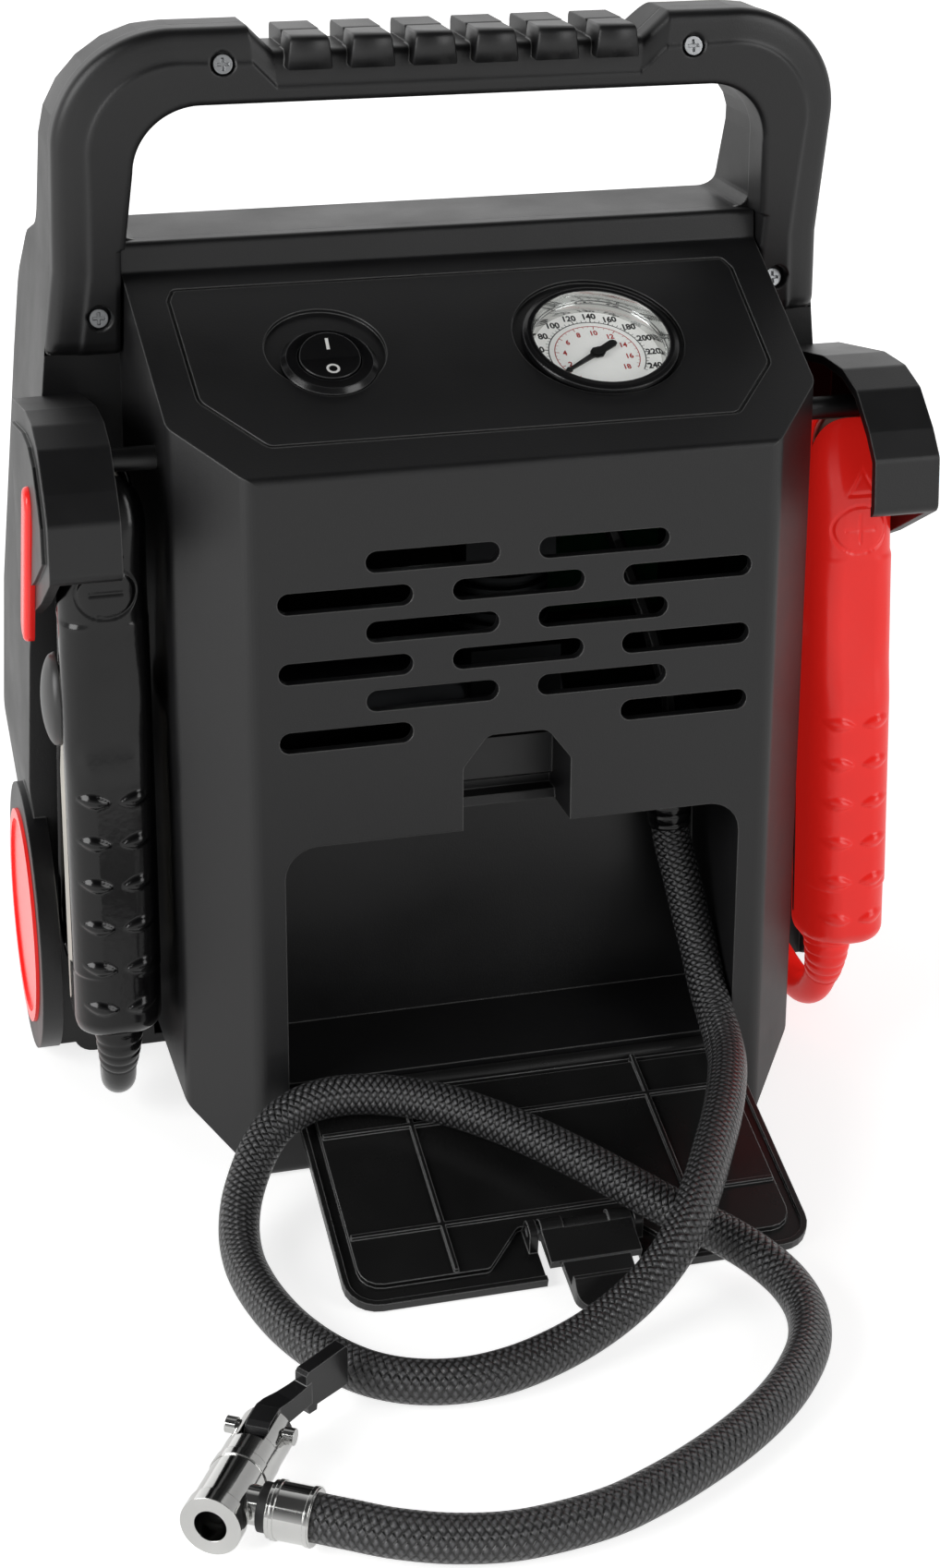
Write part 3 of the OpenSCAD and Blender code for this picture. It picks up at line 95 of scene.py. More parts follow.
# ---------------------------------------------------------------- Air hose
# A rubber air line under a tight braid of black nylon yarn. It drops out of the compartment's
# roof, crosses the open door and lies on the ground in one loop and one long bend.
HOSE_D, HOSE_STEP, HOSE_SIDES = 11.0, 1.6, 40
HOSE_ROUTE = [
    [53, 26, 96], [53, 26, 88], [54, 25.2, 78], [56, 22.5, 68], [57.8, 18.5, 57], [59, 12.5, 47],
    [59.2, 6, 39.5], [59.2, -2, 34], [58, -11.5, 31.3], [55, -23.3, 30.8], [50, -36.1, 30.6],
    [44, -49, 30], [37, -61.8, 28.6], [30.2, -73.6, 26.5], [24.2, -82.2, 23.4], [18, -88.5, 19.5],
    [11, -93.3, 15.2], [3, -97.3, 11.2], [-7, -101.4, 8], [-18.1, -105.4, 6.1], [-31, -109.5, 5.6],
    [-44, -111, 5.6], [-56, -108.5, 5.6], [-66, -102.5, 5.6], [-74, -93, 5.6], [-80, -81.5, 5.6],
    [-84, -69, 5.6], [-86.3, -56, 5.6], [-86.8, -45, 6], [-85.8, -35, 8.5], [-82.8, -26, 13],
    [-77, -18, 20], [-70, -12.8, 25.2], [-60, -10.2, 28.3], [-48, -10.2, 28.8], [-36, -12.8, 27.8],
    [-24.3, -19.2, 26.9], [-13.1, -27.7, 25.2], [-3, -37.4, 23.3], [7.7, -48.7, 20.7],
    [17.7, -59.8, 17.8], [27.2, -69.6, 14.8], [36.4, -76.9, 11.5], [42.8, -85.9, 9.4],
    [47.1, -94.6, 6.8], [47.4, -105.5, 5.6], [43.4, -117.5, 5.6], [36, -128.5, 5.6], [26.5, -138.5, 5.6],
    [15, -147.5, 5.6], [2, -155.5, 5.6], [-12, -162.5, 5.6], [-26.5, -167.6, 5.6], [-45.5, -169.8, 5.7],
    [-60.5, -168, 6.1], [-73.8, -164, 7], [-84.3, -158.4, 7.5], [-90.24, -154.68, 7.5]
]
SPAN_STEPS = 24


def smooth_path(points, step):
    """A Catmull-Rom curve through the points, read again at even steps along its length."""
    p = np.asarray(points, float)
    q = np.vstack([2 * p[0] - p[1], p, 2 * p[-1] - p[-2]])
    t = np.linspace(0, 1, SPAN_STEPS, endpoint=False)[None, :, None]
    a, b, c, d = q[:-3, None], q[1:-2, None], q[2:-1, None], q[3:, None]
    curve = 0.5 * (2 * b + t * (c - a + t * (2 * a - 5 * b + 4 * c - d + t * (3 * (b - c) + d - a))))
    curve = np.vstack([curve.reshape(-1, 3), p[-1]])
    along = np.concatenate([[0], np.cumsum(np.linalg.norm(np.diff(curve, axis=0), axis=1))])
    even = np.linspace(0, along[-1], int(round(along[-1] / step)) + 1)
    return np.stack([np.interp(even, along, curve[:, i]) for i in range(3)], axis=1), even


def path_frames(path):
    """Two directions across the path at each of its points: the first starts nearest to x and is
    carried on with the least turning, and the second is square to it and to the path."""
    tangent = np.gradient(path, axis=0)
    tangent /= np.linalg.norm(tangent, axis=1)[:, None]
    normal = np.empty_like(path)
    n = np.array([1.0, 0.0, 0.0])
    for i, t in enumerate(tangent):
        n = n - t * (n @ t)
        n = n / np.linalg.norm(n)
        normal[i] = n
    return normal, np.cross(tangent, normal)


def make_mesh(name, points, faces, smooth=True):
    """A mesh object at the origin from points in metres and faces; a closed one has all its
    faces turned outwards."""
    mesh = bpy.data.meshes.new(name)
    mesh.from_pydata(np.asarray(points, float).tolist(), [], [tuple(map(int, f)) for f in faces])
    mesh.validate()
    shell = bmesh.new()
    shell.from_mesh(mesh)
    if all(edge.is_manifold for edge in shell.edges):
        bmesh.ops.recalc_face_normals(shell, faces=shell.faces[:])
        shell.to_mesh(mesh)
    shell.free()
    mesh.polygons.foreach_set("use_smooth", np.full(len(mesh.polygons), smooth))
    mesh.update()
    obj = bpy.data.objects.new(name, mesh)
    bpy.context.scene.collection.objects.link(obj)
    return obj


def grid_faces(rows, columns, closed):
    """Quads of a grid of rows and columns; closed joins the last column to the first."""
    across = columns if closed else columns - 1
    i, j = np.meshgrid(np.arange(rows - 1), np.arange(across), indexing="ij")
    k = (j + 1) % columns
    quads = [i * columns + j, i * columns + k, (i + 1) * columns + k, (i + 1) * columns + j]
    return np.stack(quads, -1).reshape(-1, 4)


def closed_faces(rows, columns, start=0):
    """Faces of a closed form whose rows are rings: the quads between the rings, then the first
    and the last ring as caps. Its first point has the number start."""
    ring = np.arange(columns) + start
    faces = (grid_faces(rows, columns, True) + start).tolist()
    return faces + [ring[::-1].tolist(), (ring + (rows - 1) * columns).tolist()]


def tube(path, radius, sides):
    """Points and faces of a round tube: at each point of the path, a circle of the radius given
    there, in the plane of the two path directions."""
    a, b = path_frames(path)
    angle = np.arange(sides) * 2 * np.pi / sides
    ring = np.cos(angle)[None, :, None] * a[:, None] + np.sin(angle)[None, :, None] * b[:, None]
    points = path[:, None] + np.reshape(radius, (-1, 1, 1)) * ring
    return at(points.reshape(-1, 3)), closed_faces(len(path), sides)


def cord_tube(name, route, diameter, step, sides):
    """A tube of one diameter along the smooth path. Its UV map holds metres along and turns
    round; the quads that close the ring read a whole turn where they come back to the start."""
    path, even = smooth_path(route, step)
    obj = make_mesh(name, *tube(path, diameter / 2, sides))
    vertex = np.empty(len(obj.data.loops), int)
    obj.data.loops.foreach_get("vertex_index", vertex)
    row, column = np.divmod(vertex, sides)
    turn = column / sides
    quad = np.arange((len(path) - 1) * sides * 4).reshape(-1, 4)
    seam = quad[(column[quad] == sides - 1).any(1) & (column[quad] == 0).any(1)]
    turn[seam] += column[seam] == 0
    lay = obj.data.uv_layers.new(name="lay").data
    lay.foreach_set("uv", np.stack([even[row] / 1000, turn], 1).ravel())
    return obj, at(path), even[-1] / 1000


hose, hose_path, hose_length = cord_tube("air_hose_braided", HOSE_ROUTE, HOSE_D, HOSE_STEP, HOSE_SIDES)
CARRIERS, CROSSING = 11.0, 0.0021     # yarns each way round, metres along between crossings
STRANDS, STRAND_RISE = 5, 0.07        # strands across one yarn, and their share of its height
BRAID_DEPTH = 0.0004


def srgb(code):
    """A #rrggbb colour in linear light: each channel c becomes c/12.92 or ((c+0.055)/1.055)^2.4."""
    c = np.array([int(code[i:i + 2], 16) / 255 for i in (1, 3, 5)])
    return (*np.where(c <= 0.04045, c / 12.92, ((c + 0.055) / 1.055) ** 2.4), 1.0)


def add(tree, kind, inputs=None, **settings):
    """A node of that kind with its settings; inputs are values or the sockets that feed them."""
    node = tree.nodes.new("ShaderNode" + kind)
    for key, value in settings.items():
        setattr(node, key, value)
    for key, value in (inputs or {}).items():
        if isinstance(value, bpy.types.NodeSocket):
            tree.links.new(value, node.inputs[key])
        else:
            node.inputs[key].default_value = value
    return node


def start_material(name):
    """An empty node material; gives the material and its tree."""
    material = bpy.data.materials.new(name)
    material.use_nodes = True
    material.node_tree.nodes.clear()
    return material, material.node_tree


def finish_material(material, shader):
    """Joins the shader to a new output node."""
    add(material.node_tree, "OutputMaterial", {"Surface": shader})
    return material


def braided_nylon():
    """Nylon yarn, braided over and under on the bias: each crossing is a small round pillow
    that carries one short light, so the hose shows rows of slanted flecks. The two sets of yarns
    are the whole parts of length / CROSSING plus and minus turns * CARRIERS. Where the sum of the
    two is odd, one set lies on top, and elsewhere the other. Height is sine across the top yarn
    times a power of the sine across the one below, and fine strands are laid over it."""
    material, tree = start_material("braided_nylon_yarn")
    lay = add(tree, "UVMap", uv_map="lay").outputs["UV"]
    part = add(tree, "SeparateXYZ", {"Vector": lay}).outputs
    along = add(tree, "Math", {0: part["X"], 1: 1 / CROSSING}, operation="MULTIPLY").outputs[0]
    across, cell = [], []
    for carriers in (CARRIERS, -CARRIERS):
        yarn = add(tree, "Math", {0: part["Y"], 1: carriers, 2: along},
                   operation="MULTIPLY_ADD").outputs[0]
        across.append(add(tree, "Math", {0: yarn}, operation="FRACT").outputs[0])
        cell.append(add(tree, "Math", {0: yarn}, operation="FLOOR").outputs[0])
    half = add(tree, "Math", {0: cell[0], 1: cell[1]}, operation="ADD").outputs[0]
    half = add(tree, "Math", {0: half, 1: 0.5}, operation="MULTIPLY").outputs[0]
    half = add(tree, "Math", {0: half}, operation="FRACT").outputs[0]
    over = add(tree, "Math", {0: half, 1: 0.25}, operation="GREATER_THAN").outputs[0]
    top = add(tree, "Mix", {0: over, 2: across[0], 3: across[1]}).outputs[0]
    side = add(tree, "Mix", {0: over, 2: across[1], 3: across[0]}).outputs[0]
    sines = []
    for value, turns in ((top, 0.5), (side, 0.5), (top, STRANDS)):
        angle = add(tree, "Math", {0: value, 1: turns * 2 * np.pi}, operation="MULTIPLY").outputs[0]
        sines.append(add(tree, "Math", {0: angle}, operation="SINE").outputs[0])
    crown = add(tree, "Math", {0: sines[1], 1: 0.55}, operation="POWER").outputs[0]
    height = add(tree, "Math", {0: sines[0], 1: crown}, operation="MULTIPLY").outputs[0]
    height = add(tree, "Math", {0: sines[2], 1: STRAND_RISE, 2: height},
                 operation="MULTIPLY_ADD").outputs[0]
    bump = add(tree, "Bump", {"Height": height, "Strength": 1.0, "Distance": BRAID_DEPTH}).outputs[0]
    # Painted shade and highlight: the colour follows the height, near black in the gaps between the yarns,
    # where shade falls, and lighter grey on the crests.
    tone = add(tree, "ValToRGB", {"Fac": height})
    painted_shade_gap, painted_highlight_crest = tone.color_ramp.elements
    painted_shade_gap.color, painted_highlight_crest.color = srgb("#010101"), srgb("#58585a")
    painted_shade_gap.position, painted_highlight_crest.position = 0.4, 0.95
    shader = add(tree, "BsdfPrincipled", {
        "Base Color": tone.outputs["Color"], "Roughness": 0.23, "IOR": 1.6, "Normal": bump,
        "Sheen Weight": 0.05, "Sheen Roughness": 0.4})
    return finish_material(material, shader.outputs[0])


hose.data.materials.append(braided_nylon())

# The chuck's thumb lever, which the hose's end carries: a blackened zinc casting with an eye on
# the chuck's pin, an arm that turns aside, and an upright thumb plate. The arm is given by its
# stations (length, half width, low, high) and the plate by its outline (length, height).
CHUCK_AT, CHUCK_TURN = np.array([-114.2, -151.5, 7.5]), np.radians(58.0)
BEND_AT, BEND_TURN = 37.5, np.radians(-24.0)
ARM_TO_BEND = [[28.6, 3.0, 1.6, 4.4], [29.4, 3.0, 0.2, 5.8], [31.0, 3.0, -0.4, 6.4],
               [34.0, 3.0, -0.4, 6.4], [36.8, 3.0, 0.0, 6.4]]
ARM_PAST_BEND = [[1.0, 2.9, 0.2, 6.2], [5.0, 2.6, 0.4, 6.0], [9.0, 2.3, 0.6, 6.2], [12.5, 2.1, 0.8, 6.6]]
PLATE = [[10.8, 1.0], [11.6, -1.8], [14.2, -1.8], [14.4, -0.4], [24.6, -0.4],
         [25.2, 0.2], [25.2, 9.8], [24.6, 10.5], [11.6, 9.8], [10.8, 9.0]]
PLATE_HALF = 1.9


def in_chuck(points):
    """Points in the chuck's frame (x along the barrel from its mouth, z up), in metres."""
    c, n = np.cos(CHUCK_TURN), np.sin(CHUCK_TURN)
    x, y, z = np.asarray(points, float).T
    return at(np.stack([x * c - y * n, x * n + y * c, z], 1) + CHUCK_AT)


def aside(u, side):
    """A point of the lever's plan, u along it past the bend and side to its left."""
    c, n = np.cos(BEND_TURN), np.sin(BEND_TURN)
    return [BEND_AT + u * c - side * n, u * n + side * c]


def bar_corners(half, low, high):
    """The four corners (side, height) of the arm's section."""
    return (-half, low), (half, low), (half, high), (-half, high)


def moulded(name, colour, rough, edge="#777776", grain=0.00045, depth=0.00005, round_edge=0.0006):
    """Moulded plastic or rubber, or a lacquered casting. A fine grain breaks the gloss, drawn
    coarser than the real one so that it shows. Broad clouds of handling shift the tone and
    roughness, and the edges are rounded and carry a painted highlight in the edge colour,
    a thin bright line on each."""
    material, tree = start_material(name)
    place = add(tree, "TexCoord").outputs["Object"]
    cloud = add(tree, "TexNoise", {"Vector": place, "Scale": 24.0, "Detail": 5.0,
                                   "Roughness": 0.6}).outputs[0]
    speck = add(tree, "TexNoise", {"Vector": place, "Scale": 1 / grain, "Detail": 2.0}).outputs[0]
    soft = add(tree, "Bevel", {"Radius": round_edge}, samples=4).outputs[0]
    bump = add(tree, "Bump", {"Height": speck, "Strength": 0.6, "Distance": depth,
                              "Normal": soft}).outputs[0]
    # Painted highlight: where the rounded normal turns away from the flat one, the colour moves towards the
    # edge colour, a thin bright line on every edge.
    flat = add(tree, "NewGeometry").outputs["Normal"]
    turned = add(tree, "VectorMath", {0: soft, 1: flat}, operation="DOT_PRODUCT").outputs["Value"]
    painted_edge_highlight = add(tree, "MapRange", {"Value": turned, 1: 0.985, 2: 0.80, 3: 0.0, 4: 0.75}).outputs[0]
    tone = add(tree, "ValToRGB", {"Fac": cloud})
    shade = np.array(srgb(colour)[:3])
    dark, light = tone.color_ramp.elements
    dark.position, light.position = 0.3, 0.72
    dark.color, light.color = (*(shade * 0.8), 1.0), (*(shade * 1.22), 1.0)
    skin = add(tree, "Mix", {0: painted_edge_highlight, 6: tone.outputs["Color"], 7: srgb(edge)},
               data_type="RGBA").outputs[2]
    gloss = add(tree, "MapRange", {"Value": cloud, 1: 0.3, 2: 0.7, 3: rough - 0.05,
                                   4: rough + 0.06}).outputs[0]
    shader = add(tree, "BsdfPrincipled", {"Base Color": skin, "Roughness": gloss, "IOR": 1.5,
                                          "Normal": bump})
    return finish_material(material, shader.outputs[0])


points = [[x, w, z] for x, *size in ARM_TO_BEND for w, z in bar_corners(*size)]
points += [[*aside(u, w), z] for u, *size in ARM_PAST_BEND for w, z in bar_corners(*size)]
faces = closed_faces(len(points) // 4, 4) + closed_faces(2, len(PLATE), len(points))
points += [[*aside(u, w), z] for w in (PLATE_HALF, -PLATE_HALF) for u, z in PLATE]
thumb_lever = make_mesh("chuck_thumb_lever", in_chuck(points), faces, False)
# Its light grey edge colour paints a highlight on every edge of the lever.
thumb_lever.data.materials.append(moulded("blackened_zinc", "#1b1b1c", 0.22, "#b0b0b0", depth=0.00001,
                                          round_edge=0.0004))
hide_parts("chuck_lever")
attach(thumb_lever, "chuck_thumb_lever")
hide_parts("air_hose")
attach(hose, "case")
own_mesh(hose)

# ---------------------------------------------------------------- Jump cables
# Two limp copper cables in PVC jackets, each from its clamp's lever down in a short loop and
# into the housing. What shows of each is its whole free length. Grooved PVC boots relieve the
# cables at both ends, and the hose where it leaves the compartment's roof.
CABLE_D, CABLE_STEP, CABLE_SIDES = 10.0, 1.5, 32
CABLE_ROUTE = [
    [107, 33, 38], [107, 33, 31], [107, 35.5, 23], [106.6, 40, 16], [106, 46.5, 12.2], [105.2, 54, 12],
    [103.8, 61, 14.6], [102.2, 66.3, 18.2], [100, 69.8, 22], [97.6, 71, 25], [95, 71, 25]
]
GROOVE_PITCH, GROOVE_DEPTH = 3.0, 0.35
BOOT_STEP, BOOT_SIDES = 0.5, 40


def smooth_skin(name, colour, rough, painted_glow, ior=1.53, peel_depth=0.0004):
    """A smooth skin, such as dipped PVC, polished ABS or enamel: its lights are broad with a
    bright core, and a faint orange peel keeps them from looking like glass. Its glow is a
    painted glow: an emission of its own colour, light that no lamp gives, which makes it
    brighter and more saturated than the lamps alone make it."""
    material, tree = start_material(name)
    place = add(tree, "TexCoord").outputs["Object"]
    peel = add(tree, "TexNoise", {"Vector": place, "Scale": 420.0, "Detail": 2.0}).outputs[0]
    bump = add(tree, "Bump", {"Height": peel, "Strength": 0.12, "Distance": peel_depth}).outputs[0]
    tint = add(tree, "TexNoise", {"Vector": place, "Scale": 28.0, "Detail": 2.0}).outputs[0]
    tone = add(tree, "ValToRGB", {"Fac": tint})
    shade = srgb(colour)
    dark, light = tone.color_ramp.elements
    dark.color, light.color = (shade[0] * 0.88, shade[1] * 0.82, shade[2] * 0.82, 1.0), shade
    # The emission of the skin's own colour is a painted glow, light that no lamp gives.
    shader = add(tree, "BsdfPrincipled", {
        "Base Color": tone.outputs["Color"], "Roughness": rough, "IOR": ior, "Normal": bump,
        "Emission Color": shade, "Emission Strength": painted_glow})
    return finish_material(material, shader.outputs[0])


# The red PVC carries a painted glow of its own red; the black one has none.
red_pvc = smooth_skin("red_dipped_pvc", "#f4241d", 0.29, 0.33)
black_pvc = smooth_skin("black_dipped_pvc", "#070708", 0.17, 0.0, 1.45)
# The red clamp and cable are on the pack's right, and the black ones on its left.
BOTH_SIDES = (("red", 1, red_pvc), ("black", -1, black_pvc))
for colour, side, skin in BOTH_SIDES:
    route = np.array(CABLE_ROUTE) * [side, 1, 1]
    cable, cable_path, cable_length = cord_tube(colour + "_jump_cable_jacket", route, CABLE_D, CABLE_STEP,
                                                CABLE_SIDES)
    cable.data.materials.append(skin)
    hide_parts(colour + "_jump_cable")
    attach(cable, "case")


def boot(name, route, length, wide, narrow, skin):
    """A strain relief round the first stretch of a route: a tube whose radius falls evenly
    from wide to narrow, less a squared cosine at every groove that lets it bend."""
    path = smooth_path(route, BOOT_STEP)[0]
    gone = np.concatenate([[0], np.cumsum(np.linalg.norm(np.diff(path, axis=0), axis=1))])
    path, gone = path[gone <= length], gone[gone <= length]
    groove = np.clip(np.cos(gone * 2 * np.pi / GROOVE_PITCH), 0, 1) ** 2
    radius = wide + (narrow - wide) * gone / length - GROOVE_DEPTH * groove
    obj = make_mesh(name, *tube(path, radius, BOOT_SIDES))
    obj.data.materials.append(skin)
    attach(obj, "case")


for colour, side, skin in BOTH_SIDES:
    route = np.array(CABLE_ROUTE) * [side, 1, 1]
    boot(colour + "_clamp_boot", route, 16.0, 7.4, 5.4, skin)
    boot(colour + "_lead_boot", route[::-1], 9.0, 7.2, 5.4, skin)
boot("hose_boot", HOSE_ROUTE, 14.0, 7.6, 5.9, black_pvc)

# ---------------------------------------------------------------- Floor and light
# A pale floor that runs out of the picture, a large soft lamp at the left and a weaker one at
# the front right. The room is dim overhead, brighter at its horizon and brightest beyond the
# pack. The floor's own light, weaker close to the pack, makes it white without hiding the shadow.
FLOOR_HALF, FLOOR_Z = 6, -0.0002
FLOOR_LIGHT_NEAR, FLOOR_LIGHT_FAR, NEAR_R, FAR_R = 0.76, 1.0, 0.3, 0.9
GLOSSY_SHARE = 0.5
HORIZON_LIGHT, OVERHEAD_LIGHT, BEYOND_LIGHT = 0.6, 0.06, 0.7


def direct_rays(tree):
    """1 for a ray that comes from the camera, straight or through a clear piece, and else 0; and
    the socket that says the same of a mirrored ray."""
    ray = add(tree, "LightPath").outputs
    seen = add(tree, "Math", {0: ray["Is Camera Ray"], 1: ray["Is Transmission Ray"]},
               operation="MAXIMUM").outputs[0]
    return seen, ray["Is Glossy Ray"]


corners = [[x * FLOOR_HALF, y * FLOOR_HALF, FLOOR_Z] for x, y in ((-1, -1), (1, -1), (1, 1), (-1, 1))]
floor = make_mesh("floor", corners, [[0, 1, 2, 3]])
material, tree = start_material("pale_floor")
diffuse = add(tree, "BsdfDiffuse", {"Color": srgb("#d8d8d7")}).outputs[0]
place = add(tree, "TexCoord").outputs["Object"]
far = add(tree, "VectorMath", {0: place}, operation="LENGTH").outputs["Value"]
plain = add(tree, "MapRange", {"Value": far, 1: NEAR_R, 2: FAR_R, 3: FLOOR_LIGHT_NEAR,
                               4: FLOOR_LIGHT_FAR}).outputs[0]
seen, mirrored = direct_rays(tree)
seen = add(tree, "Math", {0: seen, 1: plain}, operation="MULTIPLY").outputs[0]
seen = add(tree, "Math", {0: mirrored, 1: GLOSSY_SHARE, 2: seen},
           operation="MULTIPLY_ADD").outputs[0]
lift = add(tree, "Emission", {"Color": (1, 1, 1, 1), "Strength": seen}).outputs[0]
finish_material(material, add(tree, "AddShader", {0: diffuse, 1: lift}).outputs[0])
floor.data.materials.append(material)

world = bpy.data.worlds.new("surround")
bpy.context.scene.world = world
world.use_nodes = True
tree = world.node_tree
tree.nodes.clear()
seen = direct_rays(tree)[0]
way = add(tree, "SeparateXYZ", {"Vector": add(tree, "TexCoord").outputs["Generated"]}).outputs
room = add(tree, "MapRange", {"Value": way["Z"], 1: 0.05, 2: 0.6, 3: HORIZON_LIGHT,
                              4: OVERHEAD_LIGHT}).outputs[0]
beyond = add(tree, "MapRange", {"Value": way["Y"], 1: 0.2, 2: 0.6, 3: 0.0, 4: BEYOND_LIGHT}).outputs[0]
room = add(tree, "Math", {0: room, 1: beyond}, operation="ADD").outputs[0]
strength = add(tree, "Mix", {0: seen, 2: room, 3: 1.0}).outputs[0]
back = add(tree, "Background", {"Color": (1, 1, 1, 1), "Strength": strength})
add(tree, "OutputWorld", {"Surface": back.outputs[0]})


def soft_lamp(name, place, target, width, height, watts):
    """A rectangular lamp of a width and height in metres, turned so that it faces the target."""
    data = bpy.data.lights.new(name, "AREA")
    data.shape, data.size, data.size_y, data.energy = "RECTANGLE", width, height, watts
    back = np.array(place, float) - np.array(target, float)
    back /= np.linalg.norm(back)
    across = np.cross([0, 0, 1.0], back)
    across /= np.linalg.norm(across)
    set_up(name, data, across, np.cross(back, across), back, place)


soft_lamp("key", (-1.5, -0.55, 0.75), (0, 0, 0.15), 0.9, 1.1, 18)
soft_lamp("fill", (1.2, -1.3, 0.8), (0, 0, 0.12), 0.9, 1.2, 10)
bpy.context.scene.view_settings.view_transform = "Standard"

# ---------------------------------------------------------------- Housings
# Two shells of black ABS: the rear one carries the panel, the vents and the hose compartment,
# the front one the far half of the handle. Moulded with a fine spark-eroded grain.


def dress(names, material):
    """Gives CAD nodes their material."""
    for name in names.split():
        slots = nodes[name].data.materials
        if not slots:
            slots.append(material)
        for i in range(len(slots)):
            slots[i] = material


# The default edge colour paints a grey highlight on every edge of the housings and holsters.
housing_abs = moulded("black_abs_grained", "#121213", 0.40)
dress("rear_housing front_housing left_holster right_holster clamp_rods", housing_abs)

# ---------------------------------------------------------------- Handle's near shell
# The near half of the carry handle: a moulded ABS arch, rounded outside, with a soft crease
# round its flat face. It is screwed to the far half, and six pads stand in its trough.
HANDLE_HALF, HANDLE_H, HANDLE_R, HANDLE_LEAN = 111.5, 311.0, 32.5, np.tan(np.radians(13.0))
SPLIT_Y, SPLIT_Z, SPLIT_GAP, SHELL_DEPTH = 84.0, 243.0, 0.05, 12.0
FOOT_Z, FOOT_ROUND, LEG_FLARE, RIDGE_H = 218.0, 5.0, 0.1, 250.0
WINDOW_HALF, WINDOW_TOP, WINDOW_R, WINDOW_TAPER, BODY_HALF = 92.0, 290.0, 18.2, 2.0, 93.1
TROUGH_HALF, TROUGH_STEP = 59.0, 7.0
PADS, PAD_W, PAD_PITCH, PAD_RISE, PAD_SINK = 6, 10.5, 17.2, 4.3, -4.5
PAD_DRAFT, PAD_ROUND, PAD_SHRINK = 0.12, 0.45, 0.12
LEG_POINTS, BEND_POINTS, TOP_POINTS = (70, 65), 99, (44, 22, 114)
# The screws' places (x, z) on each side, the depths of their holes, and the holes' size.
SHELL_SCREWS = ((66.0, HANDLE_H - 9.4, 2.6), (99.1, RIDGE_H - 20.0, 4.6))
HOLE_R, HOLE_SLOPE = 3.0, 0.6
# Stations across the arch, from its outer rim to the window's: share of the way across, shift
# from there, and depth behind the flat face. They draw the rounded shoulder and the crease.
ACROSS = np.array([
    [0, 0, 11.9], [0, 0, 9], [0, 0, 6.2], [0, 0.25, 5.0], [0, 0.9, 3.9], [0, 1.9, 3.0], [0, 3.2, 2.4],
    [0, 5.5, 1.75], [0, 8.2, 1.1], [0, 9.2, 0.8], [0, 9.6, 0.35], [0, 10.0, 0.1], [0, 10.6, 0],
    [1, -1.6, 0], [1, -0.9, 0.15], [1, -0.35, 0.5], [1, -0.08, 1.0], [1, 0, 1.7], [1, 0, 6], [1, 0, 11.9]])
ACROSS_POINTS, USUAL_WIDTH = 92, 19.5


def ramp(x, lo, hi):
    """0 below lo, 1 above hi, with an S-shaped step between them."""
    t = np.clip((x - lo) / (hi - lo), 0, 1)
    return t * t * (3 - 2 * t)


def near_face(z):
    """Depth of the handle's leaning near face at a height."""
    return SPLIT_Y - SHELL_DEPTH + HANDLE_LEAN * (SPLIT_Z - z)


def outer_leg(z):
    """Half width of the arch's outside along its leg, which widens evenly below the split."""
    return HANDLE_HALF + LEG_FLARE * np.maximum(SPLIT_Z - z, 0)


def window_leg(z):
    """Half width of the arch's inside along its leg: the body's below the ridge, and above it the
    window's, which narrows evenly up to its bend."""
    rise = (z - RIDGE_H) / (WINDOW_TOP - RIDGE_H - WINDOW_R)
    return np.where(z < RIDGE_H, BODY_HALF, WINDOW_HALF - WINDOW_TAPER * rise)


def arch(half, top, radius, leg_x, stops):
    """An arch's outline from foot to foot, as points (x, z): on each side a leg, a quarter
    circle and a top whose points are given by stops of (x, drop); the far half is mirrored."""
    leg = np.concatenate([np.linspace(FOOT_Z, RIDGE_H, LEG_POINTS[0]),
                          np.linspace(RIDGE_H, top - radius, LEG_POINTS[1] + 1)[1:]])
    turn = np.linspace(0, np.pi / 2, BEND_POINTS + 1)[1:]
    bend = np.column_stack([half - radius + radius * np.cos(turn), top - radius + radius * np.sin(turn)])
    knots = [(half - radius, top)] + [(x, top - drop) for x, drop in stops]
    flat = [np.linspace(p, q, count + 1)[1:] for p, q, count in zip(knots, knots[1:], TOP_POINTS)]
    near = np.vstack([np.column_stack([leg_x(leg), leg]), bend, *flat])
    return np.vstack([near, (near[:-1] * [-1, 1])[::-1]])


outer = arch(HANDLE_HALF, HANDLE_H, HANDLE_R, outer_leg,
             ((TROUGH_HALF, 0), (TROUGH_HALF - TROUGH_STEP, TROUGH_STEP), (0, TROUGH_STEP)))
inner = arch(WINDOW_HALF - WINDOW_TAPER, WINDOW_TOP, WINDOW_R, window_leg,
             ((TROUGH_HALF - 2, 0), (TROUGH_HALF - TROUGH_STEP - 1, 0), (0, 0)))
walk = np.linalg.norm(np.diff(ACROSS * [USUAL_WIDTH, 1, 1], axis=0), axis=1)
walk = np.concatenate([[0], np.cumsum(walk)])
even = np.linspace(0, walk[-1], ACROSS_POINTS)
share, shift, deep = (np.interp(even, walk, column) for column in ACROSS.T)
span = inner - outer
width = np.linalg.norm(span, axis=1)[:, None]
place = outer[:, None] + span[:, None] / width[..., None] * (share * width + shift)[..., None]
x, z = place[..., 0], place[..., 1]
# The foot is rounded as a quarter circle, and each screw's hole is a step down with a slope.
foot = np.clip(FOOT_ROUND - (z - FOOT_Z), 0, 4.9)
depth = deep + FOOT_ROUND - np.sqrt(FOOT_ROUND ** 2 - foot ** 2)
for screw_x, screw_z, hole in SHELL_SCREWS:
    from_screw = np.hypot(np.abs(x) - screw_x, z - screw_z)
    depth = np.maximum(depth, hole * (1 - ramp(from_screw, HOLE_R, HOLE_R + HOLE_SLOPE)))
split = np.minimum(SPLIT_Y, SPLIT_Y + HANDLE_LEAN * (SPLIT_Z - z)) - SPLIT_GAP
y = np.minimum(near_face(z) + depth, split)
points = np.stack([x, y, z], -1).reshape(-1, 3)
faces = closed_faces(*x.shape)
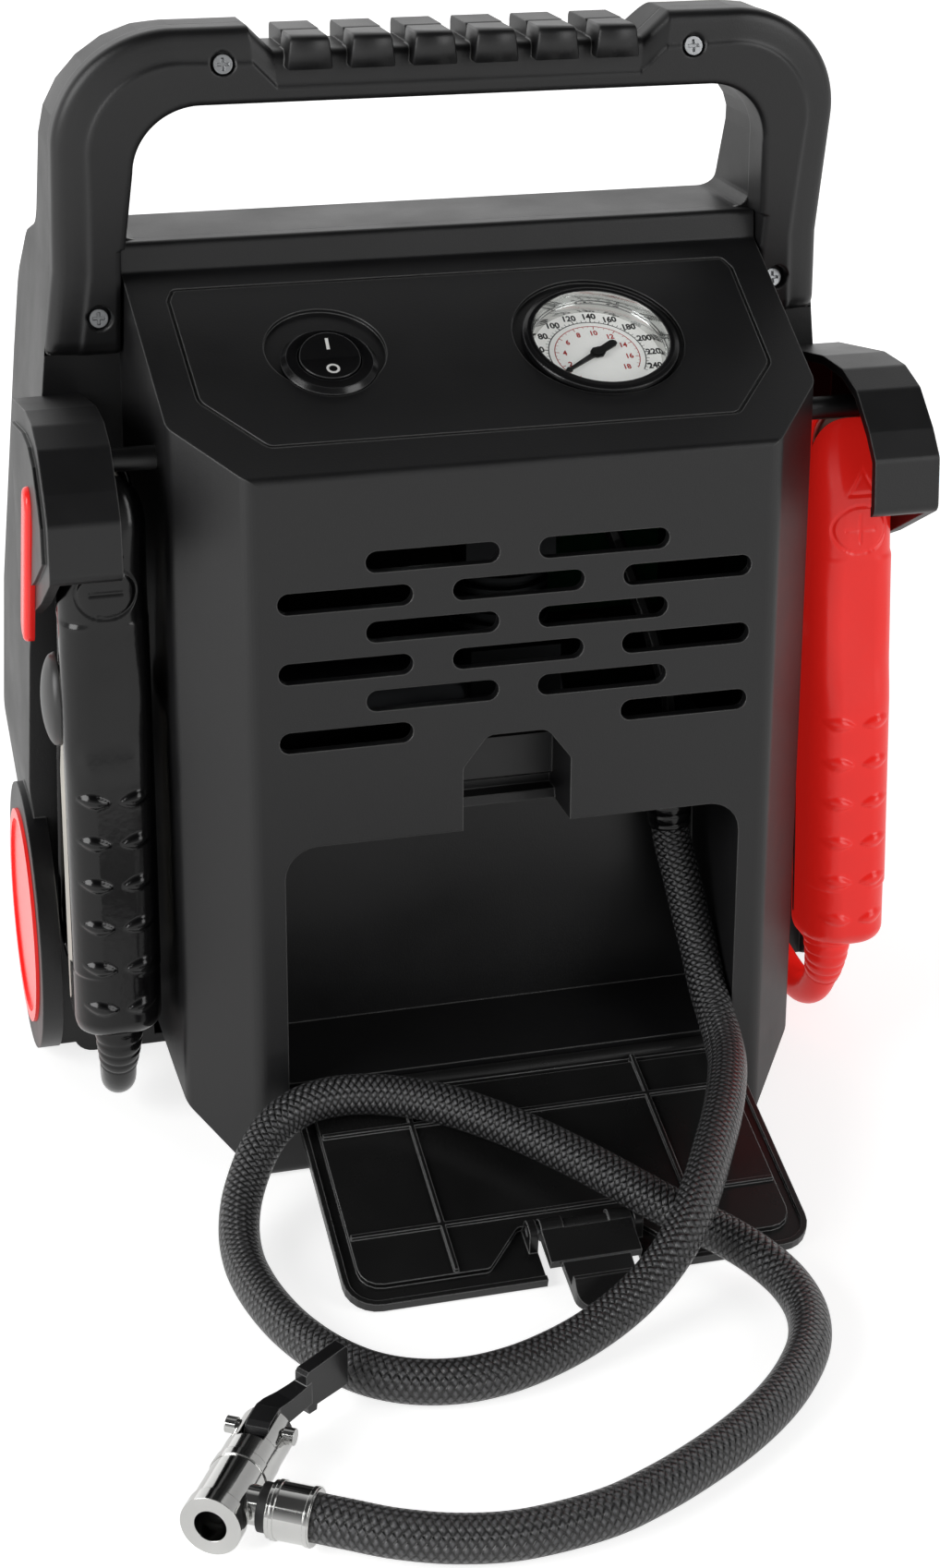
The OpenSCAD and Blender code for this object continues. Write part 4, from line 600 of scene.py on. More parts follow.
# Each pad has its outline (y, height over the trough) at four places along x: a smaller outline
# at either end, and the full one a little way in from it.
pad_z = HANDLE_H - TROUGH_STEP
pad_near, pad_far = near_face(pad_z) - 1.6, SPLIT_Y - 14.8
side = np.array([[pad_near, PAD_SINK], [pad_near, 2.6], [pad_near + 0.5, 3.8], [pad_near + 1.7, PAD_RISE],
                 [pad_far, PAD_RISE], [pad_far, PAD_SINK]])
middle = side.mean(0)
for i in range(PADS):
    rings = []
    for out, shrink in ((-1, PAD_SHRINK), (-1, 0), (1, 0), (1, PAD_SHRINK)):
        ring = side + (middle - side) * shrink
        reach = PAD_W / 2 + PAD_DRAFT * (PAD_RISE - ring[:, 1]) - (0 if shrink else PAD_ROUND)
        pad_x = (i - (PADS - 1) / 2) * PAD_PITCH + out * reach
        rings.append(np.column_stack([pad_x, ring[:, 0], pad_z + ring[:, 1]]))
    faces += closed_faces(len(rings), len(side), len(points))
    points = np.vstack([points, *rings])
handle = make_mesh("handle_near_shell", at(points), faces)
handle.data.materials.append(housing_abs)
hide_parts("handle_rear_shell")
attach(handle, "case")

# ---------------------------------------------------------------- Screws
# Four pan-head screws of zinc-plated steel, two in the handle and two through its feet.


def worn_metal(name, colour, rough, scale=900.0, depth=0.00003, spread=0.1):
    """Plated or bare metal: fine marks from forming and handling move the gloss about."""
    material, tree = start_material(name)
    place = add(tree, "TexCoord").outputs["Object"]
    marks = add(tree, "TexNoise", {"Vector": place, "Scale": scale, "Detail": 3.0}).outputs[0]
    cloud = add(tree, "TexNoise", {"Vector": place, "Scale": 60.0, "Detail": 4.0}).outputs[0]
    soft = add(tree, "Bevel", {"Radius": 0.0003}, samples=4).outputs[0]
    bump = add(tree, "Bump", {"Height": marks, "Strength": 0.5, "Distance": depth,
                              "Normal": soft}).outputs[0]
    tone = add(tree, "ValToRGB", {"Fac": cloud})
    shade = np.array(srgb(colour))
    dark, light = tone.color_ramp.elements
    dark.color, light.color = (*(shade[:3] * 0.72), 1.0), tuple(shade)
    gloss = add(tree, "MapRange", {"Value": cloud, 1: 0.3, 2: 0.7, 3: rough,
                                   4: rough + spread}).outputs[0]
    shader = add(tree, "BsdfPrincipled", {
        "Base Color": tone.outputs["Color"], "Metallic": 1.0, "Roughness": gloss, "Normal": bump})
    return finish_material(material, shader.outputs[0])


screw_steel = worn_metal("zinc_plated_steel", "#b4b6b8", 0.28)
dress("handle_screws frame_screws", screw_steel)

# ---------------------------------------------------------------- Hose door and latch
# The door that closes the compartment hangs open on two steel pins and rests on the ground.
# Its clip turns on a steel pin between two lugs. Polypropylene takes a soft, waxy gloss;
# its black is set lighter than the housing's as a painted sheen, and its edges carry a painted highlight.
# The lighter black base is a painted sheen, and the light grey edge colour a painted highlight.
door_plastic = moulded("black_polypropylene_painted_sheen", "#1b1b1b", 0.26, "#b2b2b2", depth=0.00001,
                       round_edge=0.0005)
dress("hose_door latch_clip", door_plastic)
dress("door_hinge_pins latch_pin", screw_steel)

# ---------------------------------------------------------------- Compressor switch
# A round rocker switch of polished black plastic, pad-printed in white with I and O.
PANEL_SLOPE, FACE_H = np.radians(26.1), 203.8
SWITCH_AT, ROCKER_TILT, ROCKER_LIFT = (-42.5, 39.5), 8.0, 0.4
ROCKER_LOW, ROCKER_DISH, INK = 1.6, 0.13, 0.04
I_ENDS, I_WIDTH, O_RADII, O_Y = (2.6, 6.2), 0.9, (1.15, 1.85), -4.4


def on_panel(points, place, tilt=0.0, lift=0.0):
    """Points in a frame on the sloped panel (x right, y up the slope, z out of it), first
    turned about x by tilt degrees and raised by lift, become metres in the part's frame."""
    x, y, z = np.asarray(points, float).T
    t, s = np.radians(tilt), PANEL_SLOPE
    y, z = y * np.cos(t) - z * np.sin(t), y * np.sin(t) + z * np.cos(t) + lift
    foot_y, foot_z = place[1], FACE_H + place[1] * np.tan(s)
    return at(np.stack([x + place[0], foot_y + y * np.cos(s) - z * np.sin(s),
                        foot_z + y * np.sin(s) + z * np.cos(s)], 1))


def arc_band(inner, outer, start, end, steps=None):
    """A flat band between two radii, from one angle in degrees to another."""
    count = steps or max(2, int(abs(end - start) / 3) + 1)
    a = np.radians(np.linspace(start, end, count + 1))
    ring = [np.stack([r * np.cos(a), r * np.sin(a), 0 * a], 1) for r in (inner, outer)]
    i = 2 * np.arange(count)
    return np.stack(ring, 1).reshape(-1, 3), np.stack([i, i + 1, i + 3, i + 2], 1)


def radial_bar(angle, inner, outer, width):
    """A flat bar that runs outwards at an angle in degrees."""
    a = np.radians(angle)
    along, across = np.array([np.cos(a), np.sin(a), 0]), np.array([-np.sin(a), np.cos(a), 0]) * width / 2
    near, far = along * inner, along * outer
    return np.array([near - across, far - across, far + across, near + across]), [[0, 1, 2, 3]]


def join_marks(marks):
    """One list of points and one of faces from several."""
    points, faces, count = [], [], 0
    for p, f in marks:
        points.append(p)
        faces += [[i + count for i in face] for face in f]
        count += len(p)
    return np.vstack(points), faces


def pad_print(name, colour, rough=0.45):
    """Pad-printing ink or lacquer: a thin opaque film whose tone is slightly uneven."""
    material, tree = start_material(name)
    place = add(tree, "TexCoord").outputs["Object"]
    cloud = add(tree, "TexNoise", {"Vector": place, "Scale": 900.0, "Detail": 3.0}).outputs[0]
    tone = add(tree, "ValToRGB", {"Fac": cloud})
    shade = np.array(srgb(colour))
    dark, light = tone.color_ramp.elements
    dark.color, light.color = (*(shade[:3] * 0.85), 1.0), tuple(shade)
    shader = add(tree, "BsdfPrincipled", {"Base Color": tone.outputs["Color"], "Roughness": rough})
    return finish_material(material, shader.outputs[0])


# Its grey edge colour paints a highlight on every edge.
trim_plastic = moulded("black_abs_polished", "#0c0c0d", 0.2, "#5a5a5b", depth=0.00002)
dress("switch_bezel switch_rocker", trim_plastic)
ring, quads = arc_band(*O_RADII, 0, 360, 32)
points, faces = join_marks([radial_bar(90, *I_ENDS, I_WIDTH), (ring + [0, O_Y, 0], quads)])
# The marks lie a film of ink above the rocker's face, which rises evenly both ways from its
# middle.
points[:, 2] = ROCKER_LOW + ROCKER_DISH * np.abs(points[:, 1]) + INK
points = on_panel(points, SWITCH_AT, ROCKER_TILT, ROCKER_LIFT)
rocker_marks = make_mesh("switch_marks", points, faces, False)
rocker_marks.data.materials.append(pad_print("white_pad_print", "#e9e9e6"))
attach(rocker_marks, "compressor_rocker")

# ---------------------------------------------------------------- Pressure gauge
# A brass-tube gauge in a black case: white dial with two printed scales, black needle, a
# chromed lining and a domed clear lens. The outer scale reads pounds to the square inch, the
# inner one kilograms to the square centimetre, of which one is KILOGRAM pounds.
GAUGE_AT, PRINT_Z = (34.5, 41.0), -5.17
SCALE_END, SCALE_START_ANGLE, SCALE_SWEEP, KILOGRAM = 250, 230.0, 262.0, 14.22
FONT_PER_HEIGHT, FIGURE_WEIGHT, FIGURE_WIDTH = 1.4, 0.05, 0.86


def dial_angle(value):
    """Angle in degrees of a reading on the outer scale, which runs evenly from 0 to SCALE_END."""
    return SCALE_START_ANGLE - SCALE_SWEEP * value / SCALE_END


def number(text, angle, radius, height):
    """Upright figures in the built-in font, narrowed, centred on a point of the dial."""
    curve = bpy.data.curves.new("figures", "FONT")
    curve.body, curve.size = text, height * FONT_PER_HEIGHT
    curve.align_x, curve.align_y = "CENTER", "CENTER"
    curve.resolution_u, curve.offset = 3, FIGURE_WEIGHT * height
    obj = bpy.data.objects.new("figures", curve)
    mesh = obj.to_mesh()
    points = np.array([v.co[:] for v in mesh.vertices])
    faces = [list(f.vertices) for f in mesh.polygons]
    obj.to_mesh_clear()
    bpy.data.objects.remove(obj)
    bpy.data.curves.remove(curve)
    points -= (points.max(0) + points.min(0)) / 2
    a = np.radians(angle)
    return points * [FIGURE_WIDTH, 1, 0] + [radius * np.cos(a), radius * np.sin(a), 0], faces


def print_scale(name, arc, ticks, figures, height, ink):
    """One printed scale: an arc between two radii, ticks (reading, inner, outer, width) and
    figures (text, reading, radius) of one height, all flat on the dial."""
    marks = [arc_band(*arc, dial_angle(0), dial_angle(SCALE_END))]
    marks += [radial_bar(dial_angle(value), *size) for value, *size in ticks]
    marks += [number(text, dial_angle(value), radius, height) for text, value, radius in figures]
    points, faces = join_marks(marks)
    scale = make_mesh(name, on_panel(points, GAUGE_AT, lift=PRINT_Z), faces, False)
    scale.data.materials.append(ink)
    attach(scale, "case")


def graded(steps, long, middle, lengths, widths):
    """Steps with a tick's length and width: the first of each where the step divides by long, the
    second where it divides by middle, and else the third."""
    kinds = [0 if step % long == 0 else 1 if step % middle == 0 else 2 for step in steps]
    return [(step, lengths[kind], widths[kind]) for step, kind in zip(steps, kinds)]


steps = graded(range(0, SCALE_END + 1, 5), 20, 10, (1.3, 1.0, 0.7), (0.28, 0.16, 0.16))
ticks = [(value, 13.7, 13.7 + length, width) for value, length, width in steps]
figures = [(str(value), value, 16.3) for value in range(0, 241, 20)]
black_ink, red_ink = pad_print("black_pad_print", "#151515"), pad_print("red_pad_print", "#d02a24")
print_scale("gauge_scale_black", (13.55, 13.85), ticks, figures, 2.3, black_ink)
steps = graded(range(36), 4, 2, (1.2, 0.8, 0.5), (0.22, 0.13, 0.13))
ticks = [(half * KILOGRAM / 2, 12.0 - length, 12.0, width) for half, length, width in steps]
figures = [(str(value), value * KILOGRAM, 9.2) for value in range(2, 19, 2)]
print_scale("gauge_scale_red", (11.85, 12.1), ticks, figures, 1.9, red_ink)
# The white dial carries a painted glow of its own white.
dress("gauge_dial", smooth_skin("white_enamelled_dial", "#fbfbf8", 0.5, 0.28, 1.45, 0.00001))
NEEDLE_ANGLE, NEEDLE_Z, NEEDLE_THICK, HUB_R, HUB_H = np.radians(213.0), -4.55, 0.5, 1.5, 0.4
# One side of the needle's outline from its point to its tail, along the needle and across it.
NEEDLE_SIDE = np.array([[14.6, 0], [11.6, 0.95], [10.9, 0.5], [2.2, 0.85], [1.6, 1.5], [0, 2.1],
                        [-1.6, 1.5], [-2.2, 1.15], [-6.2, 1.25], [-7.1, 0.9], [-7.5, 0]])


def prism(outline, low, high):
    """A closed prism over an outline (x, y) between two heights, as points and faces."""
    n = len(outline)
    points = np.vstack([np.column_stack([outline, np.full(n, z)]) for z in (low, high)])
    return points, closed_faces(2, n)


outline = np.vstack([NEEDLE_SIDE, NEEDLE_SIDE[-2:0:-1] * [1, -1]])
a = np.arange(24) * 2 * np.pi / 24
hub = np.column_stack([HUB_R * np.cos(a), HUB_R * np.sin(a)])
top = NEEDLE_Z + NEEDLE_THICK
points, faces = join_marks([prism(outline, NEEDLE_Z, top), prism(hub, top, top + HUB_H)])
c, n = np.cos(NEEDLE_ANGLE), np.sin(NEEDLE_ANGLE)
points[:, :2] = points[:, :2] @ np.array([[c, n], [-n, c]])
needle = make_mesh("gauge_pointer", on_panel(points, GAUGE_AT), faces, False)
needle.data.materials.append(pad_print("black_lacquered_needle", "#131313", 0.4))
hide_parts("gauge_needle")
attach(needle, "needle")
dress("gauge_case", trim_plastic)


def clear_plastic(name):
    """Clear moulded plastic or thin glass, seen as one sheet: what is behind shows through it
    straight, and its outer surface adds the reflection of the room, stronger at a slant."""
    material, tree = start_material(name)
    place = add(tree, "TexCoord").outputs["Object"]
    haze = add(tree, "TexNoise", {"Vector": place, "Scale": 200.0, "Detail": 3.0}).outputs[0]
    through = add(tree, "BsdfTransparent", {"Color": (0.96, 0.97, 0.97, 1.0)}).outputs[0]
    gloss = add(tree, "MapRange", {"Value": haze, 1: 0.3, 2: 0.7, 3: 0.02, 4: 0.06}).outputs[0]
    shine = add(tree, "BsdfGlossy", {"Color": (1, 1, 1, 1), "Roughness": gloss}).outputs[0]
    inside = add(tree, "NewGeometry").outputs["Backfacing"]
    outside = add(tree, "Math", {0: 1.0, 1: inside}, operation="SUBTRACT").outputs[0]
    slant = add(tree, "Fresnel", {"IOR": 1.45}).outputs[0]
    share = add(tree, "Math", {0: slant, 1: outside}, operation="MULTIPLY").outputs[0]
    return finish_material(material, add(tree, "MixShader", {0: share, 1: through, 2: shine}).outputs[0])


dress("gauge_lens", clear_plastic("clear_polycarbonate"))
chrome = worn_metal("polished_chrome", "#dcdcda", 0.06, depth=0.000008, spread=0.05)
# The lining's section, as radius and height over the panel.
LINING = np.array([[19.24, 1.75], [19.24, -5.15], [18.1, -5.15], [18.75, -2.6], [18.95, -2.5],
                   [18.95, -1.75], [19.16, -1.7], [19.16, 1.75]])
LINING_SIDES = 128


def turned_ring(name, profile, place, sides):
    """A ring on the panel: a closed profile of (radius, height) turned about the ring's axis."""
    a = (np.arange(sides) * 2 * np.pi / sides)[:, None]
    radius, height = profile.T
    points = np.stack([radius * np.cos(a), radius * np.sin(a), height + 0 * a], -1).reshape(-1, 3)
    n = len(profile)
    i, j = np.meshgrid(np.arange(sides) * n, np.arange(n), indexing="ij")
    i_next, j_next = (i + n) % (sides * n), (j + 1) % n
    faces = np.stack([i + j, i_next + j, i_next + j_next, i + j_next], -1).reshape(-1, 4)
    return make_mesh(name, on_panel(points, place), faces, False)


lining = turned_ring("gauge_lining", LINING, GAUGE_AT, LINING_SIDES)
lining.data.materials.append(chrome)
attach(lining, "case")

# ---------------------------------------------------------------- Bars and discs
# Red ABS accents pressed into the housing: a bar on each holster and a disc on each side. The
# battery test's button is moulded of the same plastic.
BAR_TOP, BAR_FOOT, BAR_R = (38.4, 190.2), (56.0, 149.4), 4.6
BAR_LEVELS = [[123.4, 0.0], [125.2, 0.0], [125.8, 0.25], [126.2, 0.8], [126.38, 1.7]]
ROUND_POINTS = 25
# The red ABS carries a painted glow of its own red.
red_plastic = smooth_skin("red_abs", "#ee2a26", 0.2, 0.36, 1.5, 0.00002)
dress("side_discs test_button", red_plastic)


def raised_bars(name, first, last, radius, levels):
    """A raised bar on each side: a stadium between two points (y, z), drawn at levels of
    (x, inset), so that its edge is rounded."""
    first, last = np.array(first), np.array(last)
    heading = np.arctan2(*(last - first)[::-1])
    half_turn = np.linspace(-np.pi / 2, np.pi / 2, ROUND_POINTS)
    angle = np.concatenate([heading + half_turn, heading + np.pi + half_turn])
    centre = np.repeat([last, first], ROUND_POINTS, axis=0)
    way = np.column_stack([np.cos(angle), np.sin(angle)])
    points, faces = [], []
    for side in (1, -1):
        faces += closed_faces(len(levels), len(way), len(points))
        for x, inset in levels:
            outline = centre + way * (radius - inset)
            points += np.column_stack([np.full(len(way), side * x), outline]).tolist()
    return make_mesh(name, at(points), faces)


bars = raised_bars("red_accent_bars", BAR_TOP, BAR_FOOT, BAR_R, BAR_LEVELS)
bars.data.materials.append(red_plastic)
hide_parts("accent_bars")
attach(bars, "case")

# ---------------------------------------------------------------- Jump clamps
# Two spring clamps of plated steel with dipped PVC sleeves, closed on the holsters' rods. The
# front sleeves are soft-edged shells with grip bumps and a sunk polarity mark.
CLAMP_X, PIVOT_Y, PIVOT_Z, EAR_R = 107.0, 44.0, 134.0, 8.0
SHELL_POINTS, SHELL_STEP, FRONT_HALF, REAR_HALF = 141, 0.5, 12.2, 10.4
# Each shell's foot and top, half width, inset from the arm's outside, and thickness.
FRONT_SLEEVE, FRONT_ARM = (35.6, 198.5, FRONT_HALF, 0.0, 1.75), (37.6, 197.0, FRONT_HALF, 1.85, 1.5)
REAR_SLEEVE, REAR_ARM = (44.0, 203.0, REAR_HALF, 0.0, 1.7), (46.0, 201.0, REAR_HALF, 1.8, 1.5)
# How far from its face a sleeve's edge stops where it is cut back, and from and to which height.
FRONT_CUT, REAR_CUT = (9.0, 56, 158), (7.5, 52, 150)
FRONT_ARM_Y, REAR_ARM_Y = 36.0, 56.0
DOME_H, DOME_POWER, DOME_BACK = 15.0, 2.4, 0.92
FOOT_H, FOOT_NARROW, FOOT_BACK = 5.0, 0.1, 3.5
CORNER_R, CORNER_OF_WIDTH, CORNER_OF_DEPTH = 9.0, 0.96, 0.85
FLARE, FLARE_START, FLARE_END = 0.26, 126, 152
# How far outwards the front and the rear arm lean towards their feet, from LEAN_FROM down.
LEAN, LEAN_FROM, COVER_LEAN = {"red": (5.4, 4.32), "black": (0.0, 1.4)}, 190.0, 0.6 / 2.6
BUMP_X, BUMP_LOW, BUMP_PITCH, BUMP_ROWS = 5.8, 46.2, 12.6, 6
BUMP_HALF_W, BUMP_HALF_H, BUMP_RISE, BUMP_TILT = 4.7, 2.2, 1.25, 0.14
SIGN_Z, SIGN_R, SIGN_OVAL, SIGN_ARM_X, SIGN_ARM_Z = 168.0, 6.9, 1.16, 4.2, 3.8
TRIANGLE_X, TRIANGLE_Z, SUNK = 0.6, 180.6, 0.4
COVER_Z, COVER_RADII, COVER_BULGE, COVER_RINGS, COVER_SPOKES = 131.5, (10.5, 13.5), 4.2, 13, 48


def front_face(z):
    """Depth of the front arm's outside at a height: a long flat lever and a bowed jaw."""
    return np.interp(z, [37, 60, 120, 150, 178, 195, 205], [24.2, 23.8, 23.6, 24.0, 25.0, 26.6, 28.0])


def front_edge(z):
    """Depth of the front sleeve's inner edges."""
    return np.interp(z, [37, 112, 134, 160, 184, 205], [42, 41.5, 38, 36, 33.65, 33.65])


def rear_face(z):
    """Depth of the rear arm's outside, which leans away towards its lever's end."""
    return np.interp(z, [44, 56, 108, 138, 176, 205], [75.5, 77, 67, 56, 52, 47])


def rear_edge(z):
    """Depth of the rear sleeve's inner edges."""
    return np.interp(z, [44, 118, 142, 164, 188, 205], [60, 50, 48, 44.5, 40.35, 40.35])


def cut_back(edge, face, way, reach, low, high):
    """An edge that stops short, reach from the face, between two heights."""
    def result(z):
        whole, cut = edge(z), face(z) + way * reach
        short = way * np.minimum(way * cut, way * whole)
        return whole + (short - whole) * ramp(z, low - 3, low) * (1 - ramp(z, high, high + 3))
    return result


def eared(edge, way, least):
    """The edge of a steel arm: 1 mm short of its sleeve's, but out to a round ear of radius EAR_R
    at the rivet, and elsewhere at least as deep as least."""
    def result(z):
        ear = np.sqrt(np.clip(EAR_R ** 2 - (z - PIVOT_Z) ** 2, 0, None))
        reach = np.where(ear > 0, PIVOT_Y + way * ear, least)
        return way * np.maximum(way * edge(z) - 1.0, way * reach)
    return result


def grip_relief(x, z, sign):
    """How far a front sleeve's face stands out: the swelling that the bumps sit on with a thumb
    hollow above, almond bumps in two columns, each a half ellipse in both directions, and a ring
    with a plus or minus and a triangle, which are lines of even depth, sunk."""
    hollow = np.exp(-((z - 139) / 10) ** 2) * np.clip(1 - (x / 9) ** 2, 0, 1)
    rise = 1.5 * (1 - ramp(z, 113, 127)) - 0.9 * hollow + 0.6 * ramp(z, 150, 160)
    for row in range(BUMP_ROWS):
        for column in (-BUMP_X, BUMP_X):
            dx = (x - column) / BUMP_HALF_W
            dz = z - (BUMP_LOW + BUMP_PITCH * row) - BUMP_TILT * (x - column) * np.sign(column)
            almond = np.clip(1 - dx ** 2, 0, 1)
            half = BUMP_HALF_H * almond + 1e-6
            rise += BUMP_RISE * almond ** 0.5 * np.clip(1 - (dz / half) ** 2, 0, 1)
    ring = np.abs(np.hypot(x / SIGN_OVAL, z - SIGN_Z) - SIGN_R)
    arms = np.maximum(np.abs(x) - SIGN_ARM_X, np.abs(z - SIGN_Z))
    if sign > 0:
        arms = np.minimum(arms, np.maximum(np.abs(z - SIGN_Z) - SIGN_ARM_Z, np.abs(x)))
    up, out = z - TRIANGLE_Z, np.abs(x - TRIANGLE_X)
    triangle = np.maximum(-up - 2.3, up * 0.5 + out * 0.87 - 2.2)
    line = np.minimum(np.minimum(ring, np.maximum(arms, 0)), np.abs(triangle))
    return rise - SUNK * (1 - ramp(line, 0.2, 0.6))


def clamp_shell(name, side, way, face, edges, size, lean, sign=0, flare=0.0):
    """A closed shell round one arm of a clamp. At each height its section is a U: a crowned
    face, two corner arcs and two legs that end at the two edges. It is drawn once at the inset
    and once a thickness further in. Its foot is rounded and its top ends in a dome, both as
    ellipses. Lean moves it sideways towards its foot, flare spreads the legs below the ears, and
    sign is that of the polarity mark on a face with grips."""
    low, high, half, inset, thickness = size
    foot = np.sin(np.linspace(np.pi / 2 * 0.96, 0, 10))
    dome = np.sin(np.linspace(0, np.pi / 2 * 0.965, 22))
    body = np.arange(low + FOOT_H, high - DOME_H, SHELL_STEP)[1:]
    f = np.concatenate([foot, 0 * body, 0 * dome])[:, None]
    t = np.concatenate([0 * foot, 0 * body, dome])[:, None]
    u = np.linspace(-1, 1, SHELL_POINTS)[None, :]
    shells = []
    for offset in (inset, inset + thickness):
        z = np.concatenate([low + FOOT_H - (FOOT_H - offset) * foot, body,
                            high - DOME_H + (DOME_H - offset) * dome])[:, None]
        width = (half - offset) * (1 - t ** DOME_POWER) ** (1 / DOME_POWER) * (1 - FOOT_NARROW * f ** 2)
        legs = [np.abs(edge(z) - face(z)) for edge in edges]
        deep, shallow = np.where(u < 0, *legs), np.minimum(*legs)
        back = offset + (shallow - offset) * (1 - np.sqrt(1 - t ** 2)) * DOME_BACK
        back = back + FOOT_BACK * (1 - np.sqrt(1 - f ** 2))
        radius = np.minimum(CORNER_R - offset, width * CORNER_OF_WIDTH)
        radius = np.minimum(radius, (shallow - back) * CORNER_OF_DEPTH)
        flat, bend = width - radius, radius * np.pi / 2
        along = np.abs(u) * (flat + bend + deep - back - radius)
        angle = np.clip((along - flat) / np.maximum(radius, 1e-6), 0, np.pi / 2)
        z, leg = np.broadcast_to(z, along.shape), np.maximum(along - flat - bend, 0)
        spread = flare * leg * (1 - ramp(z, FLARE_START, FLARE_END))
        x = np.sign(u) * (np.minimum(along, flat) + radius * np.sin(angle) + spread)
        depth = back + radius * (1 - np.cos(angle)) + leg
        if sign and offset == inset:
            depth = depth - grip_relief(x, z, sign) * np.cos(angle) ** 0.7 * (1 - t ** 2) * (1 - f)
        x = x + side * (CLAMP_X + lean * (1 - z / LEAN_FROM))
        shells.append(np.stack([x, face(z) + way * depth, z], -1))
    rows, columns = shells[0].shape[:2]
    count = rows * columns
    sheet = grid_faces(rows, columns, False)
    faces = np.vstack([sheet, sheet + count]).tolist()
    first = np.arange(rows - 1) * columns
    for rim in (first, first + columns - 1):
        faces += np.stack([rim, rim + columns, rim + columns + count, rim + count], 1).tolist()
    for end in (np.arange(columns), np.arange(columns) + (rows - 1) * columns):
        faces += [end.tolist(), (end + count).tolist(), [end[0], end[-1], end[-1] + count, end[0] + count]]
    return make_mesh(name, at(np.vstack([shell.reshape(-1, 3) for shell in shells])), faces)


def pivot_cover(name, side, x):
    """A lens-shaped cap over the rivet's end, on one side at x from the pack's middle: its bulge
    falls off as an ellipse's edge does."""
    share = np.linspace(0, 1, COVER_RINGS + 1)[1:] ** 0.7
    spoke = np.arange(COVER_SPOKES) * 2 * np.pi / COVER_SPOKES
    share, spoke = np.meshgrid(share, spoke, indexing="ij")
    y = PIVOT_Y + COVER_RADII[0] * share * np.cos(spoke)
    z = COVER_Z + COVER_RADII[1] * share * np.sin(spoke)
    out = COVER_BULGE * np.sqrt(np.clip(1 - share ** 2, 0, 1))
    dome = np.stack([side * (x + out), y, z], -1).reshape(-1, 3)
    skirt = np.column_stack([np.full(COVER_SPOKES, side * (x - 0.4)), y[-1], z[-1]])
    points = np.vstack([dome, skirt, [side * (x + COVER_BULGE), PIVOT_Y, COVER_Z]])
    faces = grid_faces(COVER_RINGS + 1, COVER_SPOKES, True).tolist()
    faces.append(list(range(len(dome), len(dome) + COVER_SPOKES)))
    faces += [[len(points) - 1, i, (i + 1) % COVER_SPOKES] for i in range(COVER_SPOKES)]
    return make_mesh(name, at(points), faces)


clamp_steel = worn_metal("plated_clamp_steel", "#d8d4cb", 0.36, spread=0.12)
# The default edge colour paints a highlight on every edge of the covers.
cover_plastic = moulded("grey_nylon_cover", "#3a3a3a", 0.35, depth=0.00001)


def place_clamp_piece(piece, node, body, skin):
    """Gives a clamp piece its material, hides the CAD node that it stands in for, and hangs it on its body.
    """
    piece.data.materials.append(skin)
    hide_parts(node)
    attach(piece, body)


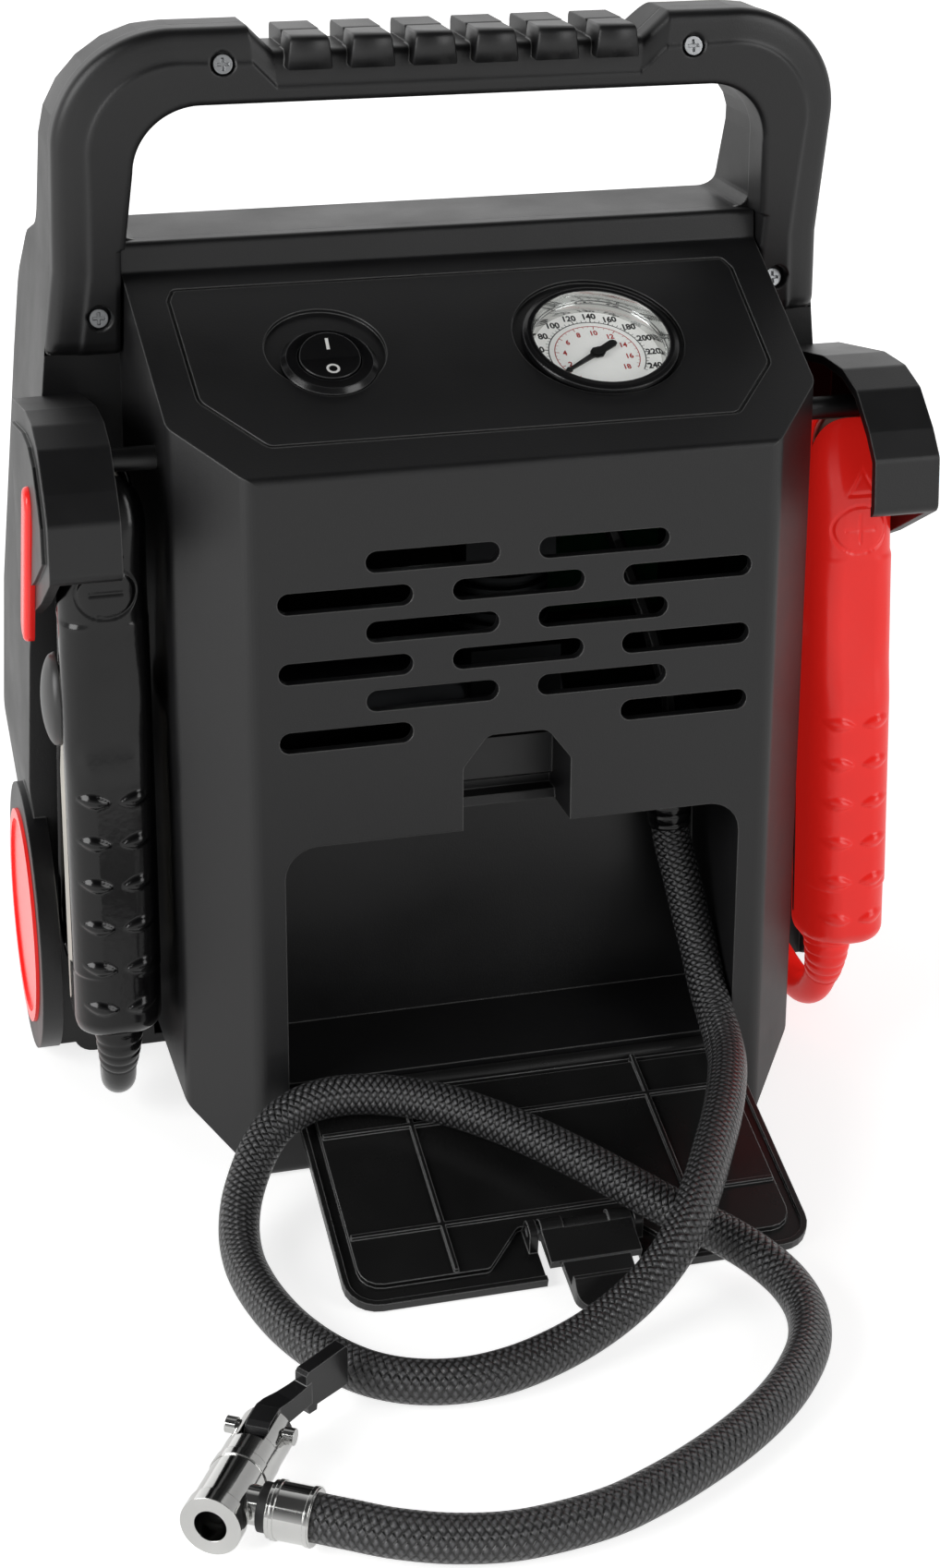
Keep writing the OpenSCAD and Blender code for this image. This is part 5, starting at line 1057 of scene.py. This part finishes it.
# A front sleeve is cut back on its outer side, where the arm shows, and a rear one on both sides.
front_cut = cut_back(front_edge, front_face, 1, *FRONT_CUT)
rear_cut = cut_back(rear_edge, rear_face, -1, *REAR_CUT)
front_ears, rear_ears = eared(front_edge, 1, FRONT_ARM_Y), eared(rear_edge, -1, REAR_ARM_Y)
for colour, side, skin in BOTH_SIDES:
    lean, rear_lean = LEAN[colour]
    edges = (front_edge, front_cut) if side > 0 else (front_cut, front_edge)
    piece = clamp_shell(colour + "_clamp_front_sleeve", side, 1, front_face, edges, FRONT_SLEEVE, lean, side)
    place_clamp_piece(piece, colour + "_front_sleeve", "case", skin)
    edges = (front_ears, front_ears)
    piece = clamp_shell(colour + "_clamp_front_arm", side, 1, front_face, edges, FRONT_ARM, lean, 0, FLARE)
    place_clamp_piece(piece, colour + "_front_arm", "case", clamp_steel)
    edges = (rear_cut, rear_cut)
    piece = clamp_shell(colour + "_clamp_rear_sleeve", side, -1, rear_face, edges, REAR_SLEEVE, rear_lean)
    place_clamp_piece(piece, colour + "_rear_sleeve", colour + "_lever", skin)
    edges = (rear_ears, rear_ears)
    piece = clamp_shell(colour + "_clamp_rear_arm", side, -1, rear_face, edges, REAR_ARM, rear_lean)
    place_clamp_piece(piece, colour + "_rear_arm", colour + "_lever", clamp_steel)
    cover = pivot_cover(colour + "_pivot_cover", side, CLAMP_X + FRONT_HALF + COVER_LEAN * lean)
    cover.data.materials.append(cover_plastic)
    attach(cover, "case")
dress("red_spring black_spring", clamp_steel)
dress("red_pivot black_pivot", worn_metal("oxidised_rivet_steel", "#6a6866", 0.42))

# ---------------------------------------------------------------- Tyre chuck
# A chromed thumb-lock chuck on the hose's end, with its pin and crimped ferrule. Its seal, its
# elbow and the glands of hose and cables are mouldings of black rubber.
dress("hose_ferrule chuck_body chuck_pin", chrome)
# Its dark grey edge colour paints a faint highlight on every edge.
black_rubber = moulded("black_rubber", "#101010", 0.5, "#2c2c2c", grain=0.0003)
dress("cable_glands hose_gland chuck_seal chuck_elbow", black_rubber)

# ---------------------------------------------------------------- Inside
# The sealed lead-acid battery stands on the housing's floor. Above the compartment lie the motor,
# the crankcase and the finned cylinder of the compressor, with its tube to the gauge.
# The moulded materials here paint a highlight in their default edge colour on every edge.
dress("battery", moulded("grey_battery_case", "#46484b", 0.5))
dress("compressor_motor", worn_metal("blued_motor_can", "#3a3b3d", 0.35))
casting = worn_metal("blackened_casting", "#2e2f30", 0.5, scale=500.0, depth=0.0001)
dress("compressor_crankcase compressor_cylinder", casting)
dress("air_tube", moulded("black_polyurethane_tube", "#141414", 0.3))
dress("control_board", moulded("green_solder_mask", "#1f5f3a", 0.3))

# ---------------------------------------------------------------- Front side
# Work lamp behind a clear lens, 12 V socket with its cap, and lamp switch, all pressed into the
# front shell. The battery test's button has the red accents' plastic.
dress("lamp_reflector", worn_metal("vacuum_metallised_reflector", "#e4e4e2", 0.08, depth=0.00001))
dress("lamp_bulb", clear_plastic("clear_bulb_glass"))
dress("lamp_lens", clear_plastic("clear_lamp_lens"))
dress("power_socket socket_cap lamp_switch", trim_plastic)
